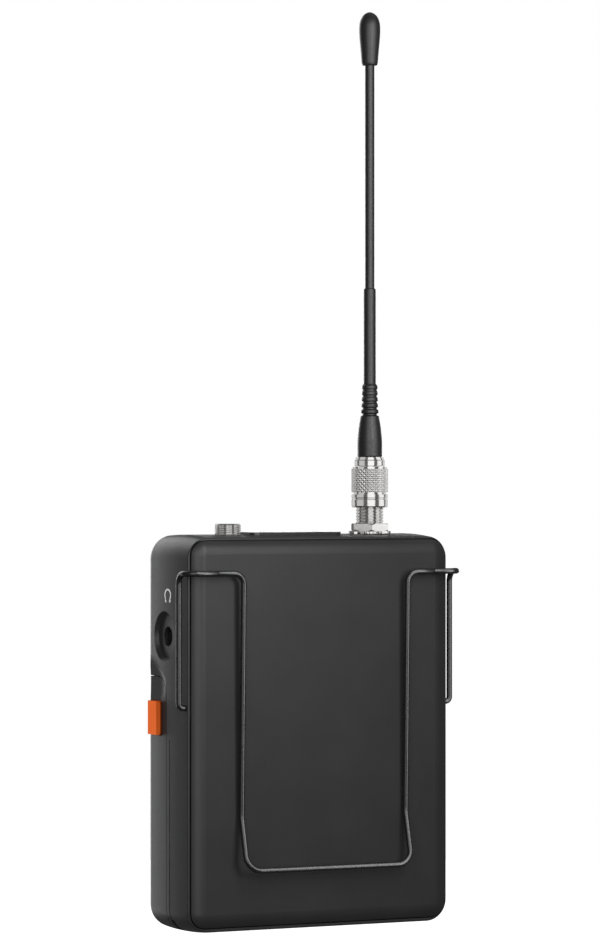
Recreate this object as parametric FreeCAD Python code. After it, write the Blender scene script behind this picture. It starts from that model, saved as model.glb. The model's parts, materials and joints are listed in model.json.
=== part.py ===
"""Wireless bodypack transmitter of a lavalier microphone set, in millimetres.

+Z is up and the whip antenna points that way. The display faces -Y and the wire belt clip
stands at +Y. The origin is on the flat underside, in the middle plane, 10 mm in front of the
rear rim; both sockets stand in the plane y = 0.
"""

import FreeCAD
import Part
import math
import os

# ---- Housing ------------------------------------------------------------------------------
BODY_WIDTH = 66.6
BODY_DEPTH = 22.1
Y_REAR = 10.0           # rear rim of the housing
BODY_HEIGHT = 89.1
CORNER_R = 5.5          # corners seen from the front
FRONT_EDGE_R = 3.5      # edge round the front face
REAR_EDGE_R = 0.35      # edge round the rear rim
CROWN_R = 120.0         # the sides bulge a little from front to rear
UNDERSIDE_CUT = 0.3     # taken off the underside's bulge, so that the pack stands on a flat
CROWN_Y = -2.0          # depth at which the sides are widest
WALL = 1.8
SHELF = 1.2             # shelf over the battery bay
ROUTE_GAP = 0.15        # general clearance round fixed inserts

# ---- Battery door -------------------------------------------------------------------------
DOOR_WALL = 1.6
PARTING_Y = -0.3        # depth of the joint line between door and housing
PARTING_GAP = 0.2
DOOR_CORNER_R = 4.3
HINGE_Y = 1.6
HINGE_Z = 1.7
HINGE_PIN_R = 0.6
HINGE_RUNNING = 0.05    # radial clearance of the ears on their pins
EAR_R = 1.35
EAR_WIDTH = 4.0
EAR_INSET = 9.3         # outer face of an ear, in from the side of the housing
KNUCKLE_WIDTH = 3.4
KNUCKLE_WALL = 1.1
EAR_NOTCH_GAP = 0.2
PIN_SLOT = (3.4, 1.7, 1.2)      # slot at each bottom corner: along the corner, deep-wise, into it
PIN_SLOT_ANGLE = 50.0
GROOVE = (1.2, 0.3, 0.15)       # fine line behind the joint line: depth place, width, cut
GROOVE_TOP = 43.0

# ---- Finger scoop beside each latch -------------------------------------------------------
SCOOP = ((62.8, -0.45), (60.9, 0.02), (58.7, 0.62), (55.3, 0.9), (51.0, 0.66), (46.5, 0.12), (43.5, -0.4))
SCOOP_FULL_Y = -10.0    # depth at which the scoop has its full depth
SCOOP_END_Y = -0.5      # depth at which it has run out

# ---- Latches ------------------------------------------------------------------------------
LATCH_PROUD = 1.0
LATCH_TRAVEL = 1.0
LATCH_Y = -5.9
LATCH_Z = 47.7
LATCH_LENGTH = 7.6
LATCH_WIDTH = 6.0
LATCH_CHAMFER = 0.7
LATCH_GAP = 0.15
LATCH_LIP = 1.2         # flange round the cap, behind the wall
LATCH_FLANGE = 0.8
LATCH_RIB = 1.0         # rib of the door that the spring pushes on
LATCH_SPRING = (1.5, 0.22, 2.5)     # coil radius, wire radius, turns
LATCH_SPRING_ROOM = 2.0

# ---- Battery bay --------------------------------------------------------------------------
CELL_R = 7.25
CELL_LENGTH = 50.5
CELL_NUB_R = 2.75
CELL_NUB = 1.4
CELL_SPACING = 15.8
CELL_GAP = 0.25         # between a cell and the door or tray
TRAY_WALL = 1.0
TRAY_GAP = 0.25         # between the tray and the walls
DIVIDER = 0.5           # between the two cells
CONTACT_THICK = 0.3
SPRING_ROOM = 2.1
CONTACT_SPRING = (3.0, 0.25, 2.6)   # coil radius, wire radius, turns

# ---- Rear cover, seal and screws ----------------------------------------------------------
COVER_PROUD = 1.6
COVER_INSET = 1.3       # side of the cover, in from the side of the housing
COVER_GAP = 0.25
COVER_CORNER_R = 3.4
COVER_ROLL = 3.0        # width of the rolled edge
COVER_ROLL_DROP = 1.3
COVER_PLATE = 1.6
COVER_SKIRT = 1.2
COVER_LEDGE = 1.6       # depth of the recess in the housing's rim
SEAL = 0.2
SCREW_R = 1.0
SCREW_HEAD_R = 1.9
SCREW_HEAD = 1.2
SCREW_CROSS = (1.1, 0.3)         # half length and half width of the drive slots
SCREW_INSET = 6.3       # in from the side of the housing
SCREW_Z = (9.5, 41.0)
BOSS_R = 2.2

# ---- Belt clip ----------------------------------------------------------------------------
WIRE_R = 0.65
CLIP_ARM_GAP = 0.35     # between the wire and the side of the housing
CLIP_HOLE_Z = 50.5
CLIP_ARM_Y = 8.57
CLIP_TOP_INSET = 8.5    # cross wires, down from the top of the housing
CLIP_STAND = 1.65       # between the cross wires and the rear cover
CLIP_HALF_WIDTH = 20.7
CLIP_KINK_Z = 26.0
CLIP_KINK_STAND = 0.45
CLIP_FLARE = 3.1
CLIP_BOTTOM_Z = 14.2
CLIP_BEND_R = 2.5
CLIP_BOTTOM_R = 3.5
CLIP_END_DEPTH = 2.2    # how far the bent ends go into the housing
CLIP_HOLE_CLEAR = 0.05
CLIP_BOSS = 5.2         # height of the block that takes a bent end
CLIP_BOSS_SUNK = 0.3    # below the rear rim

# ---- Front panel, display and keys --------------------------------------------------------
PANEL_INSET = 7.5
PANEL_MARGIN = 2.5      # above the door and below the top edge
PANEL_THICK = 1.05
PANEL_LEDGE = 1.4
PANEL_R = 2.2
WINDOW_WIDTH = 36.0
WINDOW_R = 1.2
KEY_WIDTH = 9.0
KEY_HEIGHT = 4.4
KEY_R = 1.0
KEY_PITCH = 10.6
KEY_ROW = 4.9           # centre of the keys above the panel's lower edge
KEY_PROUD = 0.45
KEY_TRAVEL = 0.4
KEY_GAP = 0.15
KEY_LIP = 0.55
KEY_FLANGE = 0.6
POWER_KEY_R = 2.7
BOARD = 0.8
KEY_BOARD_IN = 4.4      # key board, behind the front face
SWITCH_SIZE = 4.0
SWITCH_HEIGHT = 0.9
SWITCH_BUTTON = 0.3     # how far its button stands out
SWITCH_BUTTON_R = 1.0
KEY_STEM_R = 1.2
WINDOW_GAP = 0.05
DISPLAY_THICK = 2.2

# ---- Top of the housing -------------------------------------------------------------------
SOCKET_INSET = 15.2     # axes of the two sockets, in from the sides
SOCKET_Y = 0.0
SEAT_R = 5.4            # flat seats under the top wall
SEAT_DROP = 0.3
TOP_PLATE_X = (-9.0, 14.0)
TOP_PLATE_DEPTH = 9.0
TOP_PLATE_PROUD = 0.5
TOP_PLATE_SUNK = 0.8
LIGHT_R = 1.0
LIGHT_X = (-4.0, 9.0)
LIGHT_LENGTH = 5.0

# ---- Microphone socket: 3.5 mm screw-lock jack --------------------------------------------
MIC_THREAD_R = 3.0      # M6 x 0.5
MIC_THREAD_DEPTH = 0.3
MIC_PROUD = 2.4
MIC_BARREL = 7.4
PLUG_BORE_R = 1.8
MIC_NUT_AF = 8.0
MIC_NUT = 1.6
MIC_BODY_R = 4.0
MIC_BODY = 9.0

# ---- Headphone socket ---------------------------------------------------------------------
PHONES_Y = -1.4
PHONES_Z = 66.2
DISH_R = 5.7
DISH_FLOOR_R = 5.0
DISH_DEPTH = 1.0
PHONES_HOLE_R = 2.25
PHONES_BODY = (12.0, 6.0, 6.4)

# ---- Antenna socket: 1/4-36 coaxial bulkhead ----------------------------------------------
SMA_THREAD_R = 3.175
SMA_THREAD_DEPTH = 0.3
SMA_ABOVE = 9.9         # end of the thread above the housing
SMA_BELOW = 7.0
SMA_FLANGE_R = 4.6
SMA_BORE_R = 2.1
WASHER_R = 4.9
WASHER = 0.5
NUT_AF = 8.0
NUT = 1.8
NUT_TURN = 10.0         # how far the nut is turned from square
INSULATOR_LENGTH = 14.0
CONTACT_R = 0.95
CONTACT_BORE_R = 0.7

# ---- Antenna ------------------------------------------------------------------------------
THREAD_SHOWN = 3.7      # thread left between the hex nut and the coupling nut
COUPLING_RING_R = 4.3
COUPLING_RING = 3.0
KNURL_R = 4.42
KNURL = 6.4
COUPLING_RUNNING = 0.05
COUPLING_GAP = 0.1
FERRULE_R = 3.47
FERRULE = 2.1
FERRULE_STEM_R = 2.35
FERRULE_FLANGE_R = 2.85
FERRULE_FLANGE = 1.3
ANTENNA_PIN_R = 0.635
ANTENNA_PIN = 2.4
BOOT_PROFILE = ((0.0, 2.88), (4.0, 2.86), (5.2, 2.73), (6.8, 2.59), (8.2, 2.37), (9.5, 2.16))
CRIMP_R = 1.6
CRIMP = 5.5
TAIL_GAP = 0.45
TAIL_PIVOT = 1.4        # bend axis above the foot of the ribbed tail
TAIL_BALL_R = 1.4
TAIL_RIBS = (2.05, 1.95, 1.9, 1.86, 1.83)
TAIL_RIB_PITCH = 1.32
TAIL_RIB_WIDTH = 0.75
TAIL_RIB_EDGE = 0.12    # slope of a rib's flanks
TAIL_CORE_R = 1.62
SLEEVE_R = 1.355
SLEEVE = 22.3
ROD_R = 1.03
ROD = 73.7              # from the foot of the sleeve to the cap
CORE_R = 0.5
CAP_PROFILE = ((0.0, 1.75), (2.6, 1.93), (6.2, 2.26), (8.3, 2.315), (10.0, 2.2), (11.4, 1.62), (12.1, 0.85))
CAP = 12.3
CAP_BORE = 3.0

V = FreeCAD.Vector

# ---- Places worked out from the sizes above -----------------------------------------------
HALF_WIDTH = BODY_WIDTH / 2
Y_FRONT = Y_REAR - BODY_DEPTH
TOP = BODY_HEIGHT
BAY_FLOOR = WALL + PARTING_GAP
TRAY_LOW = BAY_FLOOR + 0.1
CELL_LOW = TRAY_LOW + TRAY_WALL
CELL_SPAN = CONTACT_THICK + CELL_LENGTH + SPRING_ROOM
TRAY_HIGH = CELL_LOW + CELL_SPAN + TRAY_WALL
DOOR_TOP = TRAY_HIGH
SHELF_LOW = DOOR_TOP + PARTING_GAP
SHELF_HIGH = SHELF_LOW + SHELF
CELL_Y = Y_FRONT + DOOR_WALL + CELL_GAP + CELL_R
TRAY_FLOOR_Y = CELL_Y + CELL_R + CELL_GAP
TRAY_BACK_Y = TRAY_FLOOR_Y + TRAY_WALL
BOARD_Y = TRAY_BACK_Y + 0.4
INNER_HALF = HALF_WIDTH - WALL
COVER_HALF = HALF_WIDTH - COVER_INSET
LEDGE_Y = Y_REAR - COVER_LEDGE
COVER_Y = Y_REAR + COVER_PROUD
SCREW_X = HALF_WIDTH - SCREW_INSET
EAR_X = HALF_WIDTH - EAR_INSET
MIC_X = HALF_WIDTH - SOCKET_INSET
SMA_X = -MIC_X
CEILING = TOP - WALL - SEAT_DROP
PANEL_HALF = HALF_WIDTH - PANEL_INSET
PANEL_LOW = DOOR_TOP + PANEL_MARGIN
PANEL_HIGH = TOP - PANEL_MARGIN
PANEL_BACK_Y = Y_FRONT + PANEL_THICK
KEY_Z = PANEL_LOW + KEY_ROW
KEY_BOARD_Y = Y_FRONT + KEY_BOARD_IN
WINDOW_LOW = KEY_Z + KEY_HEIGHT / 2 + KEY_LIP + 1.6
WINDOW_HIGH = PANEL_HIGH - 2.4
CLIP_X = HALF_WIDTH + CLIP_ARM_GAP + WIRE_R
CLIP_CROSS_Z = TOP - CLIP_TOP_INSET
CLIP_CROSS_Y = COVER_Y + CLIP_STAND + WIRE_R
CLIP_KINK_Y = COVER_Y + CLIP_KINK_STAND + WIRE_R
CLIP_BOTTOM_Y = CLIP_KINK_Y + CLIP_FLARE
CLIP_CUT_X = (CLIP_X + CLIP_HALF_WIDTH) / 2
WASHER_TOP = TOP + WASHER
NUT_TOP = WASHER_TOP + NUT
COUPLING_LOW = NUT_TOP + THREAD_SHOWN
COUPLING_HIGH = COUPLING_LOW + COUPLING_RING + KNURL
SMA_TOP = TOP + SMA_ABOVE
FERRULE_LOW = SMA_TOP + COUPLING_GAP
HEAD_LOW = COUPLING_HIGH + COUPLING_GAP
BOOT_LOW = HEAD_LOW + FERRULE
BOOT_HIGH = BOOT_LOW + BOOT_PROFILE[-1][0]
TAIL_LOW = BOOT_HIGH + TAIL_GAP
TAIL_HIGH = TAIL_LOW + len(TAIL_RIBS) * TAIL_RIB_PITCH
CAP_LOW = TAIL_HIGH + ROD


# ---- Shape helpers ------------------------------------------------------------------------
def box(x0, x1, y0, y1, z0, z1):
    """Block between two corners, given in any order."""
    low = V(min(x0, x1), min(y0, y1), min(z0, z1))
    return Part.makeBox(abs(x1 - x0), abs(y1 - y0), abs(z1 - z0), low)


def rod_x(y, z, r, x0, x1):
    return Part.makeCylinder(r, abs(x1 - x0), V(min(x0, x1), y, z), V(1, 0, 0))


def rod_y(x, z, r, y0, y1):
    return Part.makeCylinder(r, abs(y1 - y0), V(x, min(y0, y1), z), V(0, 1, 0))


def rod_z(x, y, r, z0, z1):
    return Part.makeCylinder(r, abs(z1 - z0), V(x, y, min(z0, z1)), V(0, 0, 1))


def cut(shape, *tools):
    for tool in tools:
        shape = shape.cut(tool)
    return shape


def join(shape, *others):
    for other in others:
        shape = shape.fuse(other)
    return shape.removeSplitter()


def mirrored(shape):
    """The same shape on the other side of the middle plane."""
    return shape.mirror(V(0, 0, 0), V(1, 0, 0))


def both_sides(shape):
    return [shape, mirrored(shape)]


def rounded_outline(a0, a1, b0, b1, r, place):
    """Closed rounded rectangle; place(a, b) turns its two coordinates into a point."""
    lean = r * (1 - math.sqrt(0.5))
    spots = (
        (a0 + r, b0), (a1 - r, b0), (a1 - lean, b0 + lean), (a1, b0 + r),
        (a1, b1 - r), (a1 - lean, b1 - lean), (a1 - r, b1),
        (a0 + r, b1), (a0 + lean, b1 - lean), (a0, b1 - r),
        (a0, b0 + r), (a0 + lean, b0 + lean),
    )
    p = [place(a, b) for a, b in spots]
    edges = []
    for start, middle, end in ((1, 2, 3), (4, 5, 6), (7, 8, 9), (10, 11, 0)):
        edges.append(Part.makeLine(p[start - 1], p[start]))
        edges.append(Part.Arc(p[start], p[middle], p[end]).toShape())
    return Part.Wire(edges)


def plate_y(x0, x1, z0, z1, r, y0, y1):
    """Rounded plate facing along Y."""
    face = Part.Face(rounded_outline(x0, x1, z0, z1, r, lambda a, b: V(a, y0, b)))
    return face.extrude(V(0, y1 - y0, 0))


def plate_z(x0, x1, y0, y1, r, z0, z1):
    """Rounded plate facing along Z."""
    face = Part.Face(rounded_outline(x0, x1, y0, y1, r, lambda a, b: V(a, b, z0)))
    return face.extrude(V(0, 0, z1 - z0))


def hex_z(x, y, across, z0, z1, turn=0.0):
    """Hexagonal prism with the given distance across its flats."""
    reach = across / math.sqrt(3)
    angles = [math.radians(60 * k + turn) for k in range(7)]
    points = [V(x + reach * math.cos(a), y + reach * math.sin(a), z0) for a in angles]
    return Part.Face(Part.makePolygon(points)).extrude(V(0, 0, z1 - z0))


def turned(x, y, z, profile):
    """Solid of revolution about Z from (height, radius) pairs joined by straight lines."""
    points = [V(0, 0, profile[0][0])]
    points += [V(r, 0, h) for h, r in profile]
    points += [V(0, 0, profile[-1][0]), V(0, 0, profile[0][0])]
    solid = Part.Face(Part.makePolygon(points)).revolve(V(0, 0, 0), V(0, 0, 1), 360)
    return Part.Solid(solid).translated(V(x, y, z))


def turned_smooth(x, y, z, profile):
    """Solid of revolution about Z whose side runs smoothly through the given points."""
    low, high = profile[0][0], profile[-1][0]
    side = Part.BSplineCurve()
    side.interpolate([V(r, 0, h) for h, r in profile])
    first, last = V(profile[0][1], 0, low), V(profile[-1][1], 0, high)
    edges = [
        Part.makeLine(V(0, 0, low), first), side.toShape(),
        Part.makeLine(last, V(0, 0, high)), Part.makeLine(V(0, 0, high), V(0, 0, low)),
    ]
    solid = Part.Face(Part.Wire(edges)).revolve(V(0, 0, 0), V(0, 0, 1), 360)
    return Part.Solid(solid).translated(V(x, y, z))


def bent_wire(points, bends, r):
    """Round wire along straight runs, with a bend of the given radius at each inner point."""
    edges = []
    start = points[0]
    for before, corner, after, bend in zip(points, points[1:], points[2:], bends):
        back = (before - corner).normalize()
        ahead = (after - corner).normalize()
        half = math.acos(max(-1.0, min(1.0, back.dot(ahead)))) / 2
        reach = bend / math.tan(half)
        middle = (back + ahead).normalize() * (bend / math.sin(half) - bend)
        enter, leave = corner + back * reach, corner + ahead * reach
        edges.append(Part.makeLine(start, enter))
        edges.append(Part.Arc(enter, corner + middle, leave).toShape())
        start = leave
    edges.append(Part.makeLine(start, points[-1]))
    path = Part.Wire(edges)
    ring = Part.Wire([Part.makeCircle(r, points[0], points[1] - points[0])])
    return path.makePipeShell([ring], True, False)


def coil(radius, wire, turns, length):
    """Coil spring along Z standing on the plane z = 0, bent in eighths of a turn."""
    steps = round(turns * 8)
    reach = radius / math.cos(math.pi / 8)
    rise = (length - 2 * wire) / steps
    points = [V(reach * math.cos(k * math.pi / 4), reach * math.sin(k * math.pi / 4), wire + k * rise)
              for k in range(steps + 1)]
    return bent_wire(points, [radius * 0.95] * (steps - 1), wire)


def body_section(inset, y_back, back_r):
    """Section of the housing's edge: distance out from a corner's axis against depth."""
    edge_x, y_front = CORNER_R - inset, Y_FRONT + inset
    big, small = CROWN_R - inset, max(FRONT_EDGE_R - inset, 0.4)
    centre = V(edge_x - big, CROWN_Y, 0)

    def side_x(y):
        return centre.x + math.sqrt(big ** 2 - (y - CROWN_Y) ** 2)

    fy = y_front + small
    fillet = V(centre.x + math.sqrt((big - small) ** 2 - (fy - CROWN_Y) ** 2), fy, 0)
    touch = centre + (fillet - centre).normalize() * big
    bisector = ((touch - fillet).normalize() + V(0, -1, 0)).normalize() * small
    y_turn = y_back - back_r
    middle = V(side_x((touch.y + y_turn) / 2), (touch.y + y_turn) / 2, 0)
    turn = V(side_x(y_turn), y_turn, 0)
    front_in, back_in = V(0, y_front, 0), V(0, y_back, 0)
    edges = [
        Part.makeLine(front_in, V(fillet.x, y_front, 0)),
        Part.Arc(V(fillet.x, y_front, 0), fillet + bisector, touch).toShape(),
        Part.Arc(touch, middle, turn).toShape(),
    ]
    last = turn
    if back_r > 0:
        last = V(turn.x - back_r, y_back, 0)
        lean = back_r * math.sqrt(0.5)
        edges.append(Part.Arc(turn, V(turn.x - back_r + lean, y_turn + lean, 0), last).toShape())
    edges.append(Part.makeLine(last, back_in))
    edges.append(Part.makeLine(back_in, front_in))
    return Part.Face(Part.Wire(edges))


def slab(section, half, low, high, corner_r):
    """Rounded slab with the given edge section all round, square in plan from low to high."""
    span = V(half - corner_r, 0, (high - low) / 2 - corner_r)
    lowest, highest = section.BoundBox.YMin, section.BoundBox.YMax
    pieces = []
    for quarter in range(4):
        wide, tall = (span.x, span.z) if quarter % 2 == 0 else (span.z, span.x)
        corner = section.revolve(V(0, 0, 0), V(0, 1, 0), -90).translated(V(wide, 0, tall))
        side = section.extrude(V(0, 0, 2 * tall)).translated(V(wide, 0, -tall))
        for piece in (corner, side):
            pieces.append(piece.rotated(V(0, 0, 0), V(0, 1, 0), 90 * quarter))
    core = box(-span.x, span.x, lowest, highest, -span.z, span.z)
    return core.multiFuse(pieces).removeSplitter().translated(V(0, 0, (low + high) / 2))


def body_slab(inset, y_back=Y_REAR, back_r=0.0):
    section = body_section(inset, y_back, back_r)
    return slab(section, HALF_WIDTH - inset, inset - UNDERSIDE_CUT, TOP - inset, CORNER_R - inset)


# ---- Outer form shared by the housing and the door ----------------------------------------
def scoop():
    """Finger scoop at the right-hand front edge; it runs out towards the rear."""
    slope = SCOOP[3][1] / (SCOOP_END_Y - SCOOP_FULL_Y)
    start_y = Y_FRONT - 2
    extra = slope * (SCOOP_FULL_Y - start_y)
    curve = Part.BSplineCurve()
    curve.interpolate([V(HALF_WIDTH - depth - extra, start_y, z) for z, depth in SCOOP])
    first, last = curve.StartPoint, curve.EndPoint
    out = HALF_WIDTH + 6
    lid = [V(last.x, start_y, last.z), V(out, start_y, last.z), V(out, start_y, first.z), first]
    edges = [curve.toShape()]
    edges += [Part.makeLine(a, b) for a, b in zip(lid, lid[1:])]
    length = SCOOP_END_Y + 3 - start_y
    return Part.Face(Part.Wire(edges)).extrude(V(slope * length, length, 0))


def outer_form():
    below = box(-BODY_WIDTH, BODY_WIDTH, -BODY_DEPTH, BODY_DEPTH, -UNDERSIDE_CUT - 1, 0)
    return cut(body_slab(0, Y_REAR, REAR_EDGE_R), *both_sides(scoop()), below)


def door_region(gap):
    """Space of the battery door, pulled back by gap from the joint line."""
    back, high, r = PARTING_Y - gap, DOOR_TOP - gap, DOOR_CORNER_R - gap
    front, low, reach = Y_FRONT - 5, -5.0, HALF_WIDTH + 5
    lean = r * (1 - math.sqrt(0.5))
    p = [V(-reach, y, z) for y, z in (
        (front, low), (back, low), (back, high - r), (back - lean, high - lean),
        (back - r, high), (front, high))]
    edges = [
        Part.makeLine(p[0], p[1]), Part.makeLine(p[1], p[2]),
        Part.Arc(p[2], p[3], p[4]).toShape(),
        Part.makeLine(p[4], p[5]), Part.makeLine(p[5], p[0]),
    ]
    return Part.Face(Part.Wire(edges)).extrude(V(2 * reach, 0, 0))


def hinge_sweep_r():
    """Radius round the hinge axis inside which the door is cut back to swing freely."""
    return math.hypot(HINGE_Y - PARTING_Y - PARTING_GAP / 2, HINGE_Z) + 0.06


# ---- Housing ------------------------------------------------------------------------------
def rim_recess():
    half = COVER_HALF + COVER_GAP
    low = COVER_INSET - COVER_GAP
    return plate_y(-half, half, low, TOP - low, COVER_CORNER_R + COVER_GAP, LEDGE_Y, Y_REAR + 1)


def knuckles():
    """Blocks on the bottom wall that hold one hinge pin, on each side of an ear."""
    high = HINGE_Z + HINGE_PIN_R + KNUCKLE_WALL
    y0, y1 = PARTING_Y + PARTING_GAP / 2, HINGE_Y + HINGE_PIN_R + KNUCKLE_WALL
    inner = EAR_X - EAR_WIDTH
    return [
        box(inner - KNUCKLE_WIDTH, inner - ROUTE_GAP, y0, y1, WALL / 2, high),
        box(EAR_X + ROUTE_GAP, EAR_X + KNUCKLE_WIDTH, y0, y1, WALL / 2, high),
    ]


def ear_notch():
    reach = EAR_R + EAR_NOTCH_GAP
    return box(EAR_X - EAR_WIDTH - ROUTE_GAP, EAR_X + ROUTE_GAP,
               PARTING_Y - 2, HINGE_Y + reach, -1, HINGE_Z + reach)


def pin_slot():
    """Slot at the right-hand bottom corner that lets a hinge pin in."""
    length, width, depth = PIN_SLOT
    cutter = box(-length / 2, length / 2, -width / 2, width / 2, -depth, 3)
    cutter = cutter.translated(V(0, 0, CORNER_R))
    cutter.rotate(V(0, 0, 0), V(0, 1, 0), 90 + PIN_SLOT_ANGLE)
    return cutter.translated(V(HALF_WIDTH - CORNER_R, HINGE_Y - 0.3, CORNER_R))


def side_groove():
    """Fine line that follows the joint line round the sides and bottom."""
    y, width, depth = GROOVE
    band = box(-HALF_WIDTH - 2, HALF_WIDTH + 2, y, y + width, -2, GROOVE_TOP)
    return band.cut(body_slab(depth, Y_REAR + 1))


def clip_boss():
    """Block inside the right-hand wall that takes a bent end of the belt clip."""
    inner = HALF_WIDTH - WALL - CLIP_END_DEPTH - 0.2
    half = CLIP_BOSS / 2
    return box(inner, HALF_WIDTH - WALL / 2, CLIP_ARM_Y - 2.0, Y_REAR - CLIP_BOSS_SUNK,
               CLIP_HOLE_Z - half, CLIP_HOLE_Z + half)


def clip_hole():
    depth = CLIP_X - CLIP_END_DEPTH - 1.4
    return rod_x(CLIP_ARM_Y, CLIP_HOLE_Z, WIRE_R + CLIP_HOLE_CLEAR, depth - 0.1, HALF_WIDTH + 2)


def headphone_dish():
    span = HALF_WIDTH + 1
    slope = (DISH_R - DISH_FLOOR_R) / DISH_DEPTH
    cone = Part.makeCone(DISH_FLOOR_R, DISH_R + slope, DISH_DEPTH + 1,
                         V(HALF_WIDTH - DISH_DEPTH, PHONES_Y, PHONES_Z), V(1, 0, 0))
    return join(cone, rod_x(PHONES_Y, PHONES_Z, PHONES_HOLE_R, INNER_HALF - 1, span))


def panel_opening():
    """Recess and opening for the front panel."""
    gap = ROUTE_GAP / 2
    half, low, high = PANEL_HALF + gap, PANEL_LOW - gap, PANEL_HIGH + gap
    recess = plate_y(-half, half, low, high, PANEL_R + gap, Y_FRONT - 1, PANEL_BACK_Y)
    edge = PANEL_LEDGE
    hole = plate_y(-half + edge, half - edge, low + edge, high - edge, PANEL_R - 0.6,
                   Y_FRONT, Y_FRONT + WALL + 1)
    return join(recess, hole)


def top_plate_recess(gap=0.0):
    x0, x1 = TOP_PLATE_X
    half = TOP_PLATE_DEPTH / 2 + gap
    return plate_z(x0 - gap, x1 + gap, -half, half, 1.6, TOP - TOP_PLATE_SUNK, TOP + TOP_PLATE_PROUD)


def light_bores(r):
    return [rod_z(x, 0, r, CEILING - 1, TOP + 2) for x in LIGHT_X]


def housing(form):
    """Main moulding: four walls, the front above the door and the shelf over the bay."""
    shell = cut(form, body_slab(WALL, Y_REAR + 2), door_region(-PARTING_GAP / 2))
    lip = rod_x(HINGE_Y, HINGE_Z, hinge_sweep_r() - PARTING_GAP, -HALF_WIDTH, HALF_WIDTH)
    corner_lip = lip.common(form).cut(body_slab(WALL, Y_REAR + 2))
    reach = EAR_X + KNUCKLE_WIDTH
    corner_lip = corner_lip.cut(box(-reach, reach, -20, 20, -5, 20))
    shelf = box(-INNER_HALF - 0.5, INNER_HALF + 0.5, Y_FRONT + WALL - 0.5, TRAY_BACK_Y,
                SHELF_LOW, SHELF_HIGH)
    shell = join(shell, corner_lip, shelf, *both_sides(clip_boss()))
    for block in knuckles():
        shell = join(shell, *both_sides(block))
    shell = join(shell, *both_sides(rod_z(MIC_X, SOCKET_Y, SEAT_R, CEILING, TOP - WALL / 2)))
    pin = rod_x(HINGE_Y, HINGE_Z, HINGE_PIN_R, EAR_X - EAR_WIDTH - KNUCKLE_WIDTH, HALF_WIDTH)
    for tool in (rim_recess_without_boss(), side_groove(), panel_opening(), headphone_dish()):
        shell = shell.cut(tool)
    for tool in (ear_notch(), pin, pin_slot(), clip_hole()):
        shell = cut(shell, *both_sides(tool))
    mic = rod_z(MIC_X, SOCKET_Y, MIC_THREAD_R, CEILING - 1, TOP + 1)
    antenna = rod_z(SMA_X, SOCKET_Y, SMA_THREAD_R, CEILING - 1, TOP + 1)
    return cut(shell, mic, antenna, top_plate_recess(), *light_bores(LIGHT_R))


def rim_recess_without_boss():
    """The cover's recess, leaving the two blocks that hold the belt clip."""
    return cut(rim_recess(), *both_sides(clip_boss()))


# ---- Rear cover ---------------------------------------------------------------------------
def cover_section():
    """Section of the cover's edge, with its rolled outer corner."""
    r, roll, drop = COVER_CORNER_R, COVER_ROLL, COVER_ROLL_DROP
    arc_r = (roll ** 2 + drop ** 2) / (2 * drop)
    half_turn = math.asin(roll / arc_r) / 2
    flat, shoulder = V(r - roll, COVER_Y, 0), V(r, COVER_Y - drop, 0)
    middle = V(r - roll + arc_r * math.sin(half_turn),
               COVER_Y - arc_r * (1 - math.cos(half_turn)), 0)
    base = LEDGE_Y + SEAL
    edges = [
        Part.makeLine(V(0, base, 0), V(r, base, 0)), Part.makeLine(V(r, base, 0), shoulder),
        Part.Arc(shoulder, middle, flat).toShape(),
        Part.makeLine(flat, V(0, COVER_Y, 0)), Part.makeLine(V(0, COVER_Y, 0), V(0, base, 0)),
    ]
    return Part.Face(Part.Wire(edges))


def back_cover():
    plate = slab(cover_section(), COVER_HALF, COVER_INSET, TOP - COVER_INSET, COVER_CORNER_R)
    inner = COVER_HALF - COVER_SKIRT
    low = COVER_INSET + COVER_SKIRT
    hollow = plate_y(-inner, inner, low, TOP - low, COVER_CORNER_R - COVER_SKIRT,
                     LEDGE_Y, COVER_Y - COVER_PLATE)
    shell = cut(plate, hollow)
    for x, z in screw_places():
        shell = join(shell, rod_y(x, z, BOSS_R, BOARD_Y + BOARD, COVER_Y - COVER_PLATE / 2))
    holes = [rod_y(x, z, SCREW_R, LEDGE_Y - 2, COVER_Y - 0.6) for x, z in screw_places()]
    room = clip_boss()
    bounds = room.BoundBox
    slots = box(bounds.XMin - ROUTE_GAP, HALF_WIDTH + 1, LEDGE_Y - 1, Y_REAR - 0.15,
                bounds.ZMin - ROUTE_GAP, bounds.ZMax + ROUTE_GAP)
    return cut(shell, *holes, *both_sides(slots))


def screw_places():
    return [(side * SCREW_X, z) for z in SCREW_Z for side in (-1, 1)]


def cover_seal():
    half, low = COVER_HALF, COVER_INSET
    ring = plate_y(-half, half, low, TOP - low, COVER_CORNER_R, LEDGE_Y, LEDGE_Y + SEAL)
    inner, inner_low = COVER_HALF - COVER_SKIRT, COVER_INSET + COVER_SKIRT
    hole = plate_y(-inner, inner, inner_low, TOP - inner_low, COVER_CORNER_R - COVER_SKIRT,
                   LEDGE_Y - 1, LEDGE_Y + 1)
    room = clip_boss().BoundBox
    gaps = box(room.XMin - ROUTE_GAP, HALF_WIDTH, LEDGE_Y - 1, LEDGE_Y + 1,
               room.ZMin - ROUTE_GAP, room.ZMax + ROUTE_GAP)
    return Part.makeCompound(cut(ring, hole, *both_sides(gaps)).Solids)


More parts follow.
